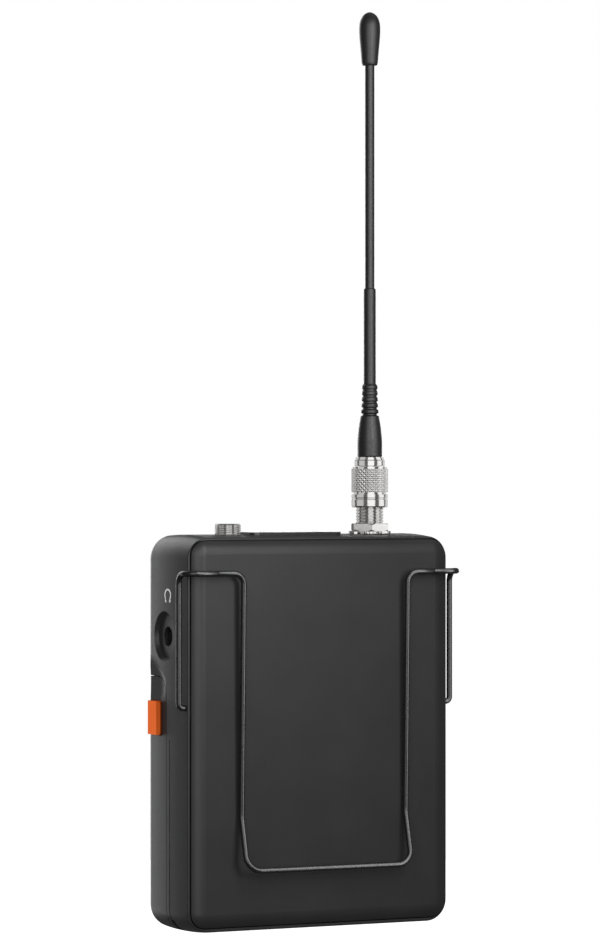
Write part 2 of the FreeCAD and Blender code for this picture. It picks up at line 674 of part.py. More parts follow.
def cover_screws():
    """Four screws, put in from the battery bay."""
    screws = []
    for x, z in screw_places():
        head = rod_y(x, z, SCREW_HEAD_R, TRAY_FLOOR_Y - SCREW_HEAD, TRAY_FLOOR_Y)
        shank = rod_y(x, z, SCREW_R, TRAY_FLOOR_Y, COVER_Y - 0.6)
        arm, half = SCREW_CROSS
        y0, y1 = TRAY_FLOOR_Y - SCREW_HEAD - 1, TRAY_FLOOR_Y - SCREW_HEAD / 2
        cross = [
            box(x - arm, x + arm, y0, y1, z - half, z + half),
            box(x - half, x + half, y0, y1, z - arm, z + arm),
        ]
        screws.append(cut(join(head, shank), *cross))
    return Part.makeCompound(screws)


# ---- Battery door, hinge and latches ------------------------------------------------------
def latch_window(grow):
    y, z = LATCH_Y, LATCH_Z
    half_y, half_z = LATCH_WIDTH / 2 + grow, LATCH_LENGTH / 2 + grow
    return y - half_y, y + half_y, z - half_z, z + half_z


def ear():
    """Hinge ear on the door's bottom wall, round the right-hand pin."""
    inner = EAR_X - EAR_WIDTH
    disc = rod_x(HINGE_Y, HINGE_Z, EAR_R, inner, EAR_X)
    neck = box(inner, EAR_X, HINGE_Y - 6, HINGE_Y, HINGE_Z - 0.5, HINGE_Z + EAR_R)
    bore = rod_x(HINGE_Y, HINGE_Z, HINGE_PIN_R + HINGE_RUNNING, inner - 1, EAR_X + 1)
    return cut(join(disc, neck), bore)


def latch_face_x():
    """Inner face of the door's side wall."""
    return HALF_WIDTH - DOOR_WALL - 0.25


def spring_rib():
    """Rib inside the door that backs the right-hand latch spring."""
    x1 = latch_face_x() - 0.1 - LATCH_FLANGE - LATCH_TRAVEL - LATCH_SPRING_ROOM
    y0, y1, z0, z1 = latch_window(-1.0)
    return box(x1 - LATCH_RIB, x1, Y_FRONT + DOOR_WALL - 0.5, y1, z0, z1)


def battery_door(form):
    shell = cut(form.common(door_region(PARTING_GAP / 2)), body_slab(DOOR_WALL, Y_REAR + 2))
    swing = rod_x(HINGE_Y, HINGE_Z, hinge_sweep_r(), -HALF_WIDTH - 1, HALF_WIDTH + 1)
    shell = shell.cut(swing)
    y0, y1, z0, z1 = latch_window(LATCH_GAP)
    window = box(HALF_WIDTH - DOOR_WALL - 3, HALF_WIDTH + 1, y0, y1, z0, z1)
    lip_y0, lip_y1, lip_z0, lip_z1 = latch_window(LATCH_LIP + LATCH_GAP)
    seat = box(HALF_WIDTH - DOOR_WALL - 3, latch_face_x(), Y_FRONT + DOOR_WALL, lip_y1, lip_z0, lip_z1)
    shell = cut(shell, *both_sides(window), *both_sides(seat))
    return join(shell, *both_sides(ear()), *both_sides(spring_rib()))


def latch():
    """Right-hand latch: cap, flange behind the wall and hook into the housing."""
    y0, y1, z0, z1 = latch_window(0)
    inside = latch_face_x() - 0.1
    cap = box(inside - LATCH_FLANGE, HALF_WIDTH + LATCH_PROUD, y0, y1, z0, z1)
    cap = cap.makeChamfer(LATCH_CHAMFER, [
        edge for edge in cap.Edges if edge.CenterOfMass.x > HALF_WIDTH + LATCH_PROUD - 0.01
        and abs(edge.CenterOfMass.z - LATCH_Z) < 0.01])
    upright = [edge for edge in cap.Edges if edge.BoundBox.XLength > 1.0 and edge.BoundBox.YLength < 0.01]
    cap = cap.makeFillet(0.5, upright)
    lip_y0, lip_y1, lip_z0, lip_z1 = latch_window(LATCH_LIP)
    lip_y0 = max(lip_y0, Y_FRONT + DOOR_WALL + ROUTE_GAP)
    lip_y1 = PARTING_Y - PARTING_GAP
    flange = box(inside - LATCH_FLANGE, inside, lip_y0, lip_y1, lip_z0, lip_z1)
    arm = box(inside - LATCH_FLANGE, inside - 0.2, lip_y1 - 1, lip_y1 + 4.0, LATCH_Z - 2, LATCH_Z + 2)
    return join(cap, flange, arm)


def latch_spring():
    """Coil behind the right-hand latch, at its pressed length."""
    radius, wire, turns = LATCH_SPRING
    spring = coil(radius, wire, turns, LATCH_SPRING_ROOM - 0.1)
    spring.rotate(V(0, 0, 0), V(0, 1, 0), 90)
    return spring.translated(V(spring_rib().BoundBox.XMax, LATCH_Y, LATCH_Z))


def hinge_pins():
    pin = rod_x(HINGE_Y, HINGE_Z, HINGE_PIN_R, EAR_X - EAR_WIDTH - KNUCKLE_WIDTH + 0.1, HALF_WIDTH - 2.9)
    return Part.makeCompound(both_sides(pin))


# ---- Battery bay --------------------------------------------------------------------------
def cell_axes():
    """(x, whether the nub is at the top) for the two cells."""
    return ((-CELL_SPACING / 2, True), (CELL_SPACING / 2, False))


def battery_tray():
    wide = INNER_HALF - TRAY_GAP
    side = CELL_SPACING / 2 + CELL_R + CELL_GAP
    floor = box(-wide, wide, TRAY_FLOOR_Y, TRAY_BACK_Y, TRAY_LOW, TRAY_HIGH)
    front = CELL_Y - CELL_R + 2.0
    walls = [
        box(-side - TRAY_WALL, -side, CELL_Y - 1, TRAY_FLOOR_Y, TRAY_LOW, TRAY_HIGH),
        box(side, side + TRAY_WALL, CELL_Y - 1, TRAY_FLOOR_Y, TRAY_LOW, TRAY_HIGH),
        box(-DIVIDER / 2, DIVIDER / 2, CELL_Y + 1, TRAY_FLOOR_Y, TRAY_LOW, TRAY_HIGH),
        box(-side, side, front, TRAY_FLOOR_Y, TRAY_LOW, TRAY_LOW + TRAY_WALL),
        box(-side, side, front, TRAY_FLOOR_Y, TRAY_HIGH - TRAY_WALL, TRAY_HIGH),
    ]
    holes = [rod_y(x, z, SCREW_R, TRAY_FLOOR_Y - 1, TRAY_BACK_Y + 1) for x, z in screw_places()]
    bosses = [grown(block) for block in both_sides(clip_boss())]
    tray = cut(join(floor, *walls), *holes, *bosses)
    return tray.common(body_slab(WALL + TRAY_GAP, Y_REAR + 1))


def grown(shape):
    """Block round a shape, with the general clearance."""
    b, gap = shape.BoundBox, ROUTE_GAP
    return box(b.XMin - gap, b.XMax + gap, b.YMin - gap, b.YMax + gap, b.ZMin - gap, b.ZMax + gap)


def cell(x, nub_up):
    """One AA cell between its contact plate and its spring."""
    low = CELL_LOW + (SPRING_ROOM if nub_up else CONTACT_THICK)
    can_low = low if nub_up else low + CELL_NUB
    nub_low = low + CELL_LENGTH - CELL_NUB if nub_up else low
    can = rod_z(x, CELL_Y, CELL_R, can_low, can_low + CELL_LENGTH - CELL_NUB)
    return join(can, rod_z(x, CELL_Y, CELL_NUB_R, nub_low, nub_low + CELL_NUB))


def contact_plates():
    plates = []
    for x, nub_up in cell_axes():
        z = CELL_LOW + CELL_SPAN - CONTACT_THICK if nub_up else CELL_LOW
        plates.append(box(x - 4, x + 4, CELL_Y - 4, TRAY_FLOOR_Y - 0.1, z, z + CONTACT_THICK))
    return Part.makeCompound(plates)


def contact_springs():
    radius, wire, turns = CONTACT_SPRING
    springs = []
    for x, nub_up in cell_axes():
        z = CELL_LOW if nub_up else CELL_LOW + CELL_SPAN - SPRING_ROOM
        springs.append(coil(radius, wire, turns, SPRING_ROOM).translated(V(x, CELL_Y, z)))
    return Part.makeCompound(springs)


# ---- Boards and electronics ---------------------------------------------------------------
def main_board():
    wide = INNER_HALF - 2.6
    board = box(-wide, wide, BOARD_Y, BOARD_Y + BOARD, TRAY_LOW + 2, TOP - WALL - 1.0)
    holes = [rod_y(x, z, SCREW_R + 0.1, BOARD_Y - 1, BOARD_Y + 3) for x, z in screw_places()]
    bosses = [grown(block) for block in both_sides(clip_boss())]
    return cut(board, *holes, *bosses)


def key_board():
    wide = PANEL_HALF - PANEL_LEDGE
    return box(-wide, wide, KEY_BOARD_Y, KEY_BOARD_Y + BOARD, SHELF_HIGH, CEILING - 1.5)


def board_connector():
    return box(-7, 7, KEY_BOARD_Y + BOARD, BOARD_Y, SHELF_HIGH + 0.5, SHELF_HIGH + 3.0)


def rf_shield():
    low, high = SHELF_HIGH + 4.0, CEILING - SMA_BELOW - 4.5
    x0, x1, y0 = -INNER_HALF + 4.0, -5.0, BOARD_Y - 3.2
    can = box(x0, x1, y0, BOARD_Y, low, high)
    return can.cut(box(x0 + 0.3, x1 - 0.3, y0 + 0.3, BOARD_Y + 1, low + 0.3, high - 0.3))


def display_module():
    half = WINDOW_WIDTH / 2 - 1.0
    y0 = KEY_BOARD_Y - DISPLAY_THICK
    return box(-half, half, y0, KEY_BOARD_Y, WINDOW_LOW + 0.6, WINDOW_HIGH - 0.6)


def switches():
    half = SWITCH_SIZE / 2
    blocks = []
    for x in key_axes() + (power_key_x(),):
        front = KEY_BOARD_Y - SWITCH_HEIGHT
        block = box(x - half, x + half, front + SWITCH_BUTTON, KEY_BOARD_Y, KEY_Z - half, KEY_Z + half)
        blocks.append(join(block, rod_y(x, KEY_Z, SWITCH_BUTTON_R, front, KEY_BOARD_Y)))
    return Part.makeCompound(blocks)


# ---- Front panel and keys -----------------------------------------------------------------
def key_axes():
    return (-1.75 * KEY_PITCH, -0.75 * KEY_PITCH, 0.25 * KEY_PITCH)


def power_key_x():
    return 1.6 * KEY_PITCH


def key_bore(x, grow, y0, y1):
    half_w, half_h = KEY_WIDTH / 2 + grow, KEY_HEIGHT / 2 + grow
    return plate_y(x - half_w, x + half_w, KEY_Z - half_h, KEY_Z + half_h, KEY_R + grow, y0, y1)


def front_panel():
    face = plate_y(-PANEL_HALF, PANEL_HALF, PANEL_LOW, PANEL_HIGH, PANEL_R,
                   Y_FRONT + WINDOW_GAP, PANEL_BACK_Y)
    half = WINDOW_WIDTH / 2 + WINDOW_GAP
    window = plate_y(-half, half, WINDOW_LOW - WINDOW_GAP, WINDOW_HIGH + WINDOW_GAP, WINDOW_R,
                     Y_FRONT - 1, 0)
    holes = [key_bore(x, KEY_GAP, Y_FRONT - 1, 0) for x in key_axes()]
    holes.append(rod_y(power_key_x(), KEY_Z, POWER_KEY_R + KEY_GAP, Y_FRONT - 1, 0))
    return cut(face, window, *holes)


def display_window():
    half = WINDOW_WIDTH / 2
    return plate_y(-half, half, WINDOW_LOW, WINDOW_HIGH, WINDOW_R - WINDOW_GAP,
                   Y_FRONT + WINDOW_GAP / 2, PANEL_BACK_Y)


def key(x):
    flange_y = PANEL_BACK_Y + 0.1
    cap = key_bore(x, 0, Y_FRONT - KEY_PROUD, flange_y + 0.1)
    flange = key_bore(x, KEY_LIP, flange_y, flange_y + KEY_FLANGE)
    stem = rod_y(x, KEY_Z, KEY_STEM_R, flange_y, KEY_BOARD_Y - SWITCH_HEIGHT - KEY_TRAVEL - 0.1)
    return join(cap, flange, stem)


def power_key():
    x, flange_y = power_key_x(), PANEL_BACK_Y + 0.1
    cap = rod_y(x, KEY_Z, POWER_KEY_R, Y_FRONT - KEY_PROUD, flange_y + 0.1)
    flange = rod_y(x, KEY_Z, POWER_KEY_R + KEY_LIP, flange_y, flange_y + KEY_FLANGE)
    stem = rod_y(x, KEY_Z, KEY_STEM_R, flange_y, KEY_BOARD_Y - SWITCH_HEIGHT - KEY_TRAVEL - 0.1)
    return join(cap, flange, stem)


# ---- Top plate and lights -----------------------------------------------------------------
def top_plate():
    return cut(top_plate_recess(-0.05), *light_bores(LIGHT_R))


def light_pipes():
    top = TOP + TOP_PLATE_PROUD + 0.05
    return Part.makeCompound([rod_z(x, 0, LIGHT_R, top - LIGHT_LENGTH, top) for x in LIGHT_X])


# ---- Microphone and headphone sockets -----------------------------------------------------
def mic_barrel():
    top = TOP + MIC_PROUD
    barrel = rod_z(MIC_X, SOCKET_Y, MIC_THREAD_R, top - MIC_BARREL, top)
    ring = [edge for edge in barrel.Edges if edge.BoundBox.ZMin > top - 0.01]
    barrel = barrel.makeChamfer(MIC_THREAD_DEPTH, ring)
    return cut(barrel, rod_z(MIC_X, SOCKET_Y, PLUG_BORE_R, top - MIC_BARREL - 1, top + 1))


def mic_nut():
    nut = hex_z(MIC_X, SOCKET_Y, MIC_NUT_AF, CEILING - MIC_NUT, CEILING)
    return cut(nut, rod_z(MIC_X, SOCKET_Y, MIC_THREAD_R, CEILING - 9, CEILING + 1))


def mic_body():
    """Insulating body under the barrel, with its contacts' legs down to the board."""
    high = TOP + MIC_PROUD - MIC_BARREL
    low = high - MIC_BODY
    block = rod_z(MIC_X, SOCKET_Y, MIC_BODY_R, low, high)
    block = cut(block, rod_z(MIC_X, SOCKET_Y, PLUG_BORE_R + 0.2, low + 1.2, high + 1))
    foot = box(MIC_X - 3, MIC_X + 3, SOCKET_Y + 2.4, BOARD_Y, low, low + 2.4)
    return join(block, foot)


def contact_leaves(x, z0, z1, y):
    return box(x - 0.5, x + 0.5, y, y + 0.3, z0, z1)


def mic_contacts():
    high = TOP + MIC_PROUD - MIC_BARREL
    return Part.makeCompound([
        contact_leaves(MIC_X, high - 6.8, high - 3.8, SOCKET_Y - PLUG_BORE_R - 0.1),
        contact_leaves(MIC_X, high - 3.4, high - 0.6, SOCKET_Y + PLUG_BORE_R - 0.2),
    ])


def headphone_socket():
    length, deep, tall = PHONES_BODY
    outer = HALF_WIDTH - WALL - 0.1
    block = box(outer - length, outer, PHONES_Y - deep / 2, PHONES_Y + deep / 2,
                PHONES_Z - tall / 2, PHONES_Z + tall / 2)
    bore = rod_x(PHONES_Y, PHONES_Z, PLUG_BORE_R, outer - length + 1.2, outer + 1)
    legs = [box(outer - at - 1, outer - at, PHONES_Y + deep / 2 - 0.2, BOARD_Y,
                PHONES_Z - 0.4, PHONES_Z + 0.4) for at in (4.0, 9.0)]
    return join(cut(block, bore), *legs)


# ---- Antenna socket -----------------------------------------------------------------------
def antenna_socket():
    low = CEILING - SMA_BELOW
    body = rod_z(SMA_X, SOCKET_Y, SMA_THREAD_R, low, SMA_TOP)
    ring = [edge for edge in body.Edges if edge.BoundBox.ZMin > SMA_TOP - 0.01]
    body = body.makeChamfer(SMA_THREAD_DEPTH, ring)
    flange = rod_z(SMA_X, SOCKET_Y, SMA_FLANGE_R, CEILING - 1.6, CEILING)
    return cut(join(body, flange), rod_z(SMA_X, SOCKET_Y, SMA_BORE_R, low - 1, SMA_TOP + 1))


def antenna_insulator():
    high = SMA_TOP - 1.2
    tube = rod_z(SMA_X, SOCKET_Y, SMA_BORE_R, high - INSULATOR_LENGTH, high)
    return cut(tube, rod_z(SMA_X, SOCKET_Y, CONTACT_R, high - 99, high + 1))


def antenna_contact():
    low, high = CEILING - SMA_BELOW - 1.5, SMA_TOP - 1.0
    pin = rod_z(SMA_X, SOCKET_Y, CONTACT_R, low, high)
    tail = box(SMA_X - 0.5, SMA_X + 0.5, SOCKET_Y, BOARD_Y, low, low + 0.6)
    return cut(join(pin, tail), rod_z(SMA_X, SOCKET_Y, CONTACT_BORE_R, high - 5, high + 1))


def lock_washer():
    washer = rod_z(SMA_X, SOCKET_Y, WASHER_R, TOP, WASHER_TOP)
    return cut(washer, rod_z(SMA_X, SOCKET_Y, SMA_THREAD_R, TOP - 1, WASHER_TOP + 1))


def hex_nut():
    nut = hex_z(SMA_X, SOCKET_Y, NUT_AF, WASHER_TOP, NUT_TOP, NUT_TURN)
    reach = NUT_AF / math.sqrt(3)
    cone = Part.makeCone(reach + NUT, reach - 0.35, NUT + 0.35, V(SMA_X, SOCKET_Y, WASHER_TOP - 0.1))
    return cut(nut.common(cone), rod_z(SMA_X, SOCKET_Y, SMA_THREAD_R, TOP, NUT_TOP + 1))


# ---- Antenna ------------------------------------------------------------------------------
def coupling_nut():
    """Knurled nut that draws the antenna onto the socket; it turns on the ferrule."""
    ring = rod_z(SMA_X, SOCKET_Y, COUPLING_RING_R, COUPLING_LOW, COUPLING_LOW + COUPLING_RING)
    knurl = rod_z(SMA_X, SOCKET_Y, KNURL_R, COUPLING_LOW + COUPLING_RING, COUPLING_HIGH)
    cavity_top = FERRULE_LOW + FERRULE_FLANGE + COUPLING_GAP
    cavity = rod_z(SMA_X, SOCKET_Y, SMA_THREAD_R + COUPLING_RUNNING, COUPLING_LOW - 1, cavity_top)
    neck = rod_z(SMA_X, SOCKET_Y, FERRULE_STEM_R + COUPLING_RUNNING, cavity_top - 1, COUPLING_HIGH + 1)
    nut = cut(join(ring, knurl), cavity, neck)
    rims = [edge for edge in nut.Edges if edge.BoundBox.XLength > 2 * COUPLING_RING_R - 0.1
            and (edge.BoundBox.ZMin > COUPLING_HIGH - 0.01 or edge.BoundBox.ZMax < COUPLING_LOW + 0.01)]
    return nut.makeChamfer(0.3, rims)


def antenna_ferrule():
    return turned(SMA_X, SOCKET_Y, 0, (
        (FERRULE_LOW, FERRULE_FLANGE_R), (FERRULE_LOW + FERRULE_FLANGE, FERRULE_FLANGE_R),
        (FERRULE_LOW + FERRULE_FLANGE, FERRULE_STEM_R), (HEAD_LOW, FERRULE_STEM_R),
        (HEAD_LOW, FERRULE_R), (BOOT_LOW - 0.3, FERRULE_R), (BOOT_LOW, FERRULE_R - 0.3),
    )).cut(rod_z(SMA_X, SOCKET_Y, ANTENNA_PIN_R, FERRULE_LOW - 1, BOOT_LOW + 1))


def antenna_pin():
    return rod_z(SMA_X, SOCKET_Y, ANTENNA_PIN_R, FERRULE_LOW - ANTENNA_PIN, BOOT_LOW)


def crimp_tube():
    return rod_z(SMA_X, SOCKET_Y, CRIMP_R, BOOT_LOW, BOOT_LOW + CRIMP)


def antenna_boot():
    return turned_smooth(SMA_X, SOCKET_Y, BOOT_LOW, BOOT_PROFILE).cut(crimp_tube())


def tail_profile():
    """Side of the ribbed tail, from its bend axis to the top."""
    points = [(TAIL_PIVOT, TAIL_CORE_R)]
    edge = (TAIL_RIB_PITCH - TAIL_RIB_WIDTH) / 2
    for k, rib in enumerate(TAIL_RIBS):
        foot = max(k * TAIL_RIB_PITCH + edge, TAIL_PIVOT + TAIL_RIB_EDGE)
        top = (k + 1) * TAIL_RIB_PITCH - edge
        if top > foot + 3 * TAIL_RIB_EDGE:
            points += [(foot, TAIL_CORE_R), (foot + TAIL_RIB_EDGE, rib)]
            points += [(top - TAIL_RIB_EDGE, rib), (top, TAIL_CORE_R)]
    points.append((TAIL_HIGH - TAIL_LOW, TAIL_CORE_R))
    return points


def boot_tail():
    """Ribbed tail of the boot; its round foot is centred on the bend axis."""
    pivot = TAIL_LOW + TAIL_PIVOT
    foot = Part.makeSphere(TAIL_BALL_R, V(SMA_X, SOCKET_Y, pivot))
    tail = join(turned(SMA_X, SOCKET_Y, TAIL_LOW, tail_profile()), foot)
    return tail.cut(rod_z(SMA_X, SOCKET_Y, ROD_R, pivot, TAIL_HIGH + 1))


def whip_sleeve():
    tube = rod_z(SMA_X, SOCKET_Y, SLEEVE_R, TAIL_HIGH, TAIL_HIGH + SLEEVE)
    return tube.cut(rod_z(SMA_X, SOCKET_Y, ROD_R, TAIL_HIGH - 1, TAIL_HIGH + SLEEVE + 1))


def whip_rod():
    rod = rod_z(SMA_X, SOCKET_Y, ROD_R, TAIL_LOW + TAIL_PIVOT, CAP_LOW + CAP_BORE)
    return rod.cut(rod_z(SMA_X, SOCKET_Y, CORE_R, TAIL_LOW, CAP_LOW + 99))


def whip_core():
    return rod_z(SMA_X, SOCKET_Y, CORE_R, TAIL_LOW + TAIL_PIVOT, CAP_LOW + CAP_BORE)


def whip_cap():
    cap = turned_smooth(SMA_X, SOCKET_Y, CAP_LOW, CAP_PROFILE + ((CAP, 0.05),))
    return cap.cut(rod_z(SMA_X, SOCKET_Y, ROD_R, CAP_LOW - 1, CAP_LOW + CAP_BORE))


# ---- Belt clip ----------------------------------------------------------------------------
def clip_arm():
    """Right-hand arm: bent end in the housing, side run and half of the cross wire."""
    x, y, z = CLIP_X, CLIP_ARM_Y, CLIP_CROSS_Z
    points = [
        V(HALF_WIDTH - CLIP_END_DEPTH, y, CLIP_HOLE_Z), V(x, y, CLIP_HOLE_Z), V(x, y, z),
        V(x, CLIP_CROSS_Y, z), V(CLIP_CUT_X, CLIP_CROSS_Y, z),
    ]
    return bent_wire(points, (WIRE_R * 1.6, CLIP_BEND_R, CLIP_BEND_R), WIRE_R)


def clip_loop():
    """Loop behind the cover: two legs, kinked near the bottom, and the bottom bar."""
    half = CLIP_HALF_WIDTH
    right = [
        V(CLIP_CUT_X - 0.02, CLIP_CROSS_Y, CLIP_CROSS_Z), V(half, CLIP_CROSS_Y, CLIP_CROSS_Z),
        V(half, CLIP_KINK_Y, CLIP_KINK_Z), V(half, CLIP_BOTTOM_Y, CLIP_BOTTOM_Z),
    ]
    left = [V(-p.x, p.y, p.z) for p in reversed(right)]
    bends = (CLIP_BEND_R, 6.0, CLIP_BOTTOM_R)
    return bent_wire(right + left, bends + tuple(reversed(bends)), WIRE_R)


def save(name, shape):
    shape.exportStep("parts/" + name + ".step")
    print(name, len(shape.Solids), round(shape.Volume, 2), shape.isValid())


def main():
    os.makedirs("parts", exist_ok=True)
    form = outer_form()
    up, down, enter = key_axes()
    left_cell, right_cell = cell_axes()
    nodes = {
        "housing": housing(form),
        "back_cover": back_cover(),
        "cover_seal": cover_seal(),
        "cover_screws": cover_screws(),
        "battery_door": battery_door(form),
        "hinge_pins": hinge_pins(),
        "latch_right": latch(),
        "latch_left": mirrored(latch()),
        "latch_spring_right": latch_spring(),
        "latch_spring_left": mirrored(latch_spring()),
        "battery_tray": battery_tray(),
        "battery_cell_left": cell(*left_cell),
        "battery_cell_right": cell(*right_cell),
        "contact_plates": contact_plates(),
        "contact_springs": contact_springs(),
        "main_board": main_board(),
        "key_board": key_board(),
        "board_connector": board_connector(),
        "rf_shield": rf_shield(),
        "display_module": display_module(),
        "key_switches": switches(),
        "front_panel": front_panel(),
        "display_window": display_window(),
        "key_up": key(up),
        "key_down": key(down),
        "key_set": key(enter),
        "power_key": power_key(),
        "top_plate": top_plate(),
        "light_pipes": light_pipes(),
        "mic_socket_barrel": mic_barrel(),
        "mic_socket_nut": mic_nut(),
        "mic_socket_body": mic_body(),
        "mic_socket_contacts": mic_contacts(),
        "headphone_socket": headphone_socket(),
        "antenna_socket": antenna_socket(),
        "antenna_socket_insulator": antenna_insulator(),
        "antenna_socket_contact": antenna_contact(),
        "lock_washer": lock_washer(),
        "hex_nut": hex_nut(),
        "coupling_nut": coupling_nut(),
        "antenna_ferrule": antenna_ferrule(),
        "antenna_pin": antenna_pin(),
        "crimp_tube": crimp_tube(),
        "antenna_boot": antenna_boot(),
        "boot_tail": boot_tail(),
        "whip_sleeve": whip_sleeve(),
        "whip_rod": whip_rod(),
        "whip_core": whip_core(),
        "whip_cap": whip_cap(),
        "clip_arm_right": clip_arm(),
        "clip_arm_left": mirrored(clip_arm()),
        "clip_loop": clip_loop(),
    }
    for name, shape in nodes.items():
        save(name, shape)


main()
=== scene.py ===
"""Looks of the bodypack transmitter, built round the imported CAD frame. Metres, same frame."""

import json
import math

import bpy
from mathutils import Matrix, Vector

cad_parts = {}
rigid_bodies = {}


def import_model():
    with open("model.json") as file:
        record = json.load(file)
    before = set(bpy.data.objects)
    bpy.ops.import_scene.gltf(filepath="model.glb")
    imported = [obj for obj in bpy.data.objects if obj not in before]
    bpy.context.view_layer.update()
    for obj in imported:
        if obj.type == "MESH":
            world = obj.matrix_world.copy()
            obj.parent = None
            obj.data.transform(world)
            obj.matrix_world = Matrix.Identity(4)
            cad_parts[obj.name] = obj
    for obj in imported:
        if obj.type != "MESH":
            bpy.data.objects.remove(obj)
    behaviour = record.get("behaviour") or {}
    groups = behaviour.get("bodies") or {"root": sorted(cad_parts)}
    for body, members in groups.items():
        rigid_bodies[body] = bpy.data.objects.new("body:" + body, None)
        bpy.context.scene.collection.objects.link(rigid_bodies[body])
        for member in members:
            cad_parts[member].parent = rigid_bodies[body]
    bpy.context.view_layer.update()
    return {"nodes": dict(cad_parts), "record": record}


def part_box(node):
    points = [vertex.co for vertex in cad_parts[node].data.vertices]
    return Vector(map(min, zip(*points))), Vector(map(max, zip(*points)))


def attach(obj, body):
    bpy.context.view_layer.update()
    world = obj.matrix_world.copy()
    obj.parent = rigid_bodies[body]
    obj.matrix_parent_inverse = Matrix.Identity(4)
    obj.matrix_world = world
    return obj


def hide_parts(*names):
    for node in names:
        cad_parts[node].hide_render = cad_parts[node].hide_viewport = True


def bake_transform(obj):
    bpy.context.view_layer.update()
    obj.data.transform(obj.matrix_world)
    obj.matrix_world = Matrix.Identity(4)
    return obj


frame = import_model()

MM = 0.001
NODES = frame["nodes"]


# ---- Places read from the frame -----------------------------------------------------------
def centre(node):
    low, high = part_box(node)
    return (low + high) / 2


BODY_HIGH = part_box("housing")[1]
TOP = BODY_HIGH.z
HALF_WIDTH = BODY_HIGH.x
COVER_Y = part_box("back_cover")[1].y
ANTENNA = centre("antenna_socket")
MIC = centre("mic_socket_barrel")
CROWN_R = 120 * MM       # bulge of the housing's sides, widest at CROWN_Y
CROWN_Y = -2 * MM
LATCHES = ("latch_right", "latch_left")
KEYS = ("key_up", "key_down", "key_set", "power_key")


# ---- Mesh helpers -------------------------------------------------------------------------
def new_mesh(name, vertices, faces, angle=35.0):
    """Mesh object with smooth shading up to the given edge angle."""
    mesh = bpy.data.meshes.new(name)
    mesh.from_pydata([tuple(v) for v in vertices], [], faces)
    mesh.validate()
    mesh.update()
    piece = bpy.data.objects.new(name, mesh)
    bpy.context.scene.collection.objects.link(piece)
    shade(piece, angle)
    return piece


def shade(piece, angle):
    """Smooth shading, with edges sharper than angle left sharp."""
    mesh = piece.data
    mesh.polygons.foreach_set("use_smooth", [True] * len(mesh.polygons))
    mesh.set_sharp_from_angle(angle=math.radians(angle))
    mesh.update()


def ring_grid(rows, columns):
    """Faces of a tube whose points are listed row by row."""
    faces = []
    for i in range(rows - 1):
        for j in range(columns):
            k = (j + 1) % columns
            faces.append((i * columns + j, i * columns + k, (i + 1) * columns + k, (i + 1) * columns + j))
    return faces


def turned_form(name, axis, rows, bore, angle):
    """Closed form round a vertical axis from rows of (radius, turn, height); a bore makes it a tube."""
    columns = len(rows[0])
    if bore:
        low, high = rows[0], rows[-1]
        rows = [[(bore, t, h) for _, t, h in low]] + rows + [[(bore, t, h) for _, t, h in high]]
    corners = [corner for row in rows for corner in row]
    points = [Vector((axis.x + r * math.cos(t), axis.y + r * math.sin(t), h)) for r, t, h in corners]
    faces = ring_grid(len(rows), columns)
    last = (len(rows) - 1) * columns
    if bore:
        faces += [(last + j, last + (j + 1) % columns, (j + 1) % columns, j) for j in range(columns)]
    else:
        faces += end_faces(last, columns)
    return new_mesh(name, points, faces, angle)


def end_faces(last, columns):
    """Flat faces over the first row of points and over the row that starts at last."""
    return [tuple(reversed(range(columns))), tuple(range(last, last + columns))]


def full_turn(columns):
    return [2 * math.pi * j / columns for j in range(columns)]


def radial(name, axis, heights, radius, bore, columns=64, angle=35.0):
    """Bored form whose side is given by radius(turn, height)."""
    rows = [[(radius(t, h), t, h) for t in full_turn(columns)] for h in heights]
    return turned_form(name, axis, rows, bore, angle)


def smooth_rows(knots, step):
    """(height, radius) rows along straight runs between knots, no further apart than step."""
    rows = []
    for (h0, r0), (h1, r1) in zip(knots, knots[1:]):
        count = max(1, math.ceil(max(abs(h1 - h0), abs(r1 - r0)) / step))
        rows += [(h0 + (h1 - h0) * k / count, r0 + (r1 - r0) * k / count) for k in range(count)]
    return rows + [knots[-1]]


def lathe(name, axis, knots, bore=None, columns=64, step=0.4 * MM, angle=40.0):
    """Turned form from (height, radius) knots; heights may not fall."""
    rows = [[(r, t, h) for t in full_turn(columns)] for h, r in smooth_rows(knots, step)]
    return turned_form(name, axis, rows, bore, angle)


def rounded(knots, r, steps=4):
    """Knots with each inner corner rounded by about r."""
    out = [knots[0]]
    for before, corner, after in zip(knots, knots[1:], knots[2:]):
        a, b, c = Vector(before), Vector(corner), Vector(after)
        reach = min(r, (a - b).length * 0.45, (c - b).length * 0.45)
        start, end = b + (a - b).normalized() * reach, b + (c - b).normalized() * reach
        for k in range(steps + 1):
            f = k / steps
            p = start * (1 - f) ** 2 + b * 2 * f * (1 - f) + end * f ** 2
            out.append((p.x, p.y))
    return out + [knots[-1]]


def bent_path(points, bends, steps=14):
    """Points along straight runs joined by arcs."""
    path = [points[0]]
    for before, corner, after, bend in zip(points, points[1:], points[2:], bends):
        back, ahead = (before - corner).normalized(), (after - corner).normalized()
        half = back.angle(ahead) / 2
        middle = corner + (back + ahead).normalized() * (bend / math.sin(half))
        enter = corner + back * (bend / math.tan(half))
        leave = corner + ahead * (bend / math.tan(half))
        first, last = enter - middle, leave - middle
        whole = first.angle(last)
        for k in range(steps + 1):
            f = k / steps
            mix = first * math.sin((1 - f) * whole) + last * math.sin(f * whole)
            path.append(middle + mix / math.sin(whole))
    return path + [points[-1]]


WIRE_TIP = ((1.0, 0.0), (0.93, 0.35), (0.75, 0.7), (0.45, 0.93))      # size, share of the tip's length


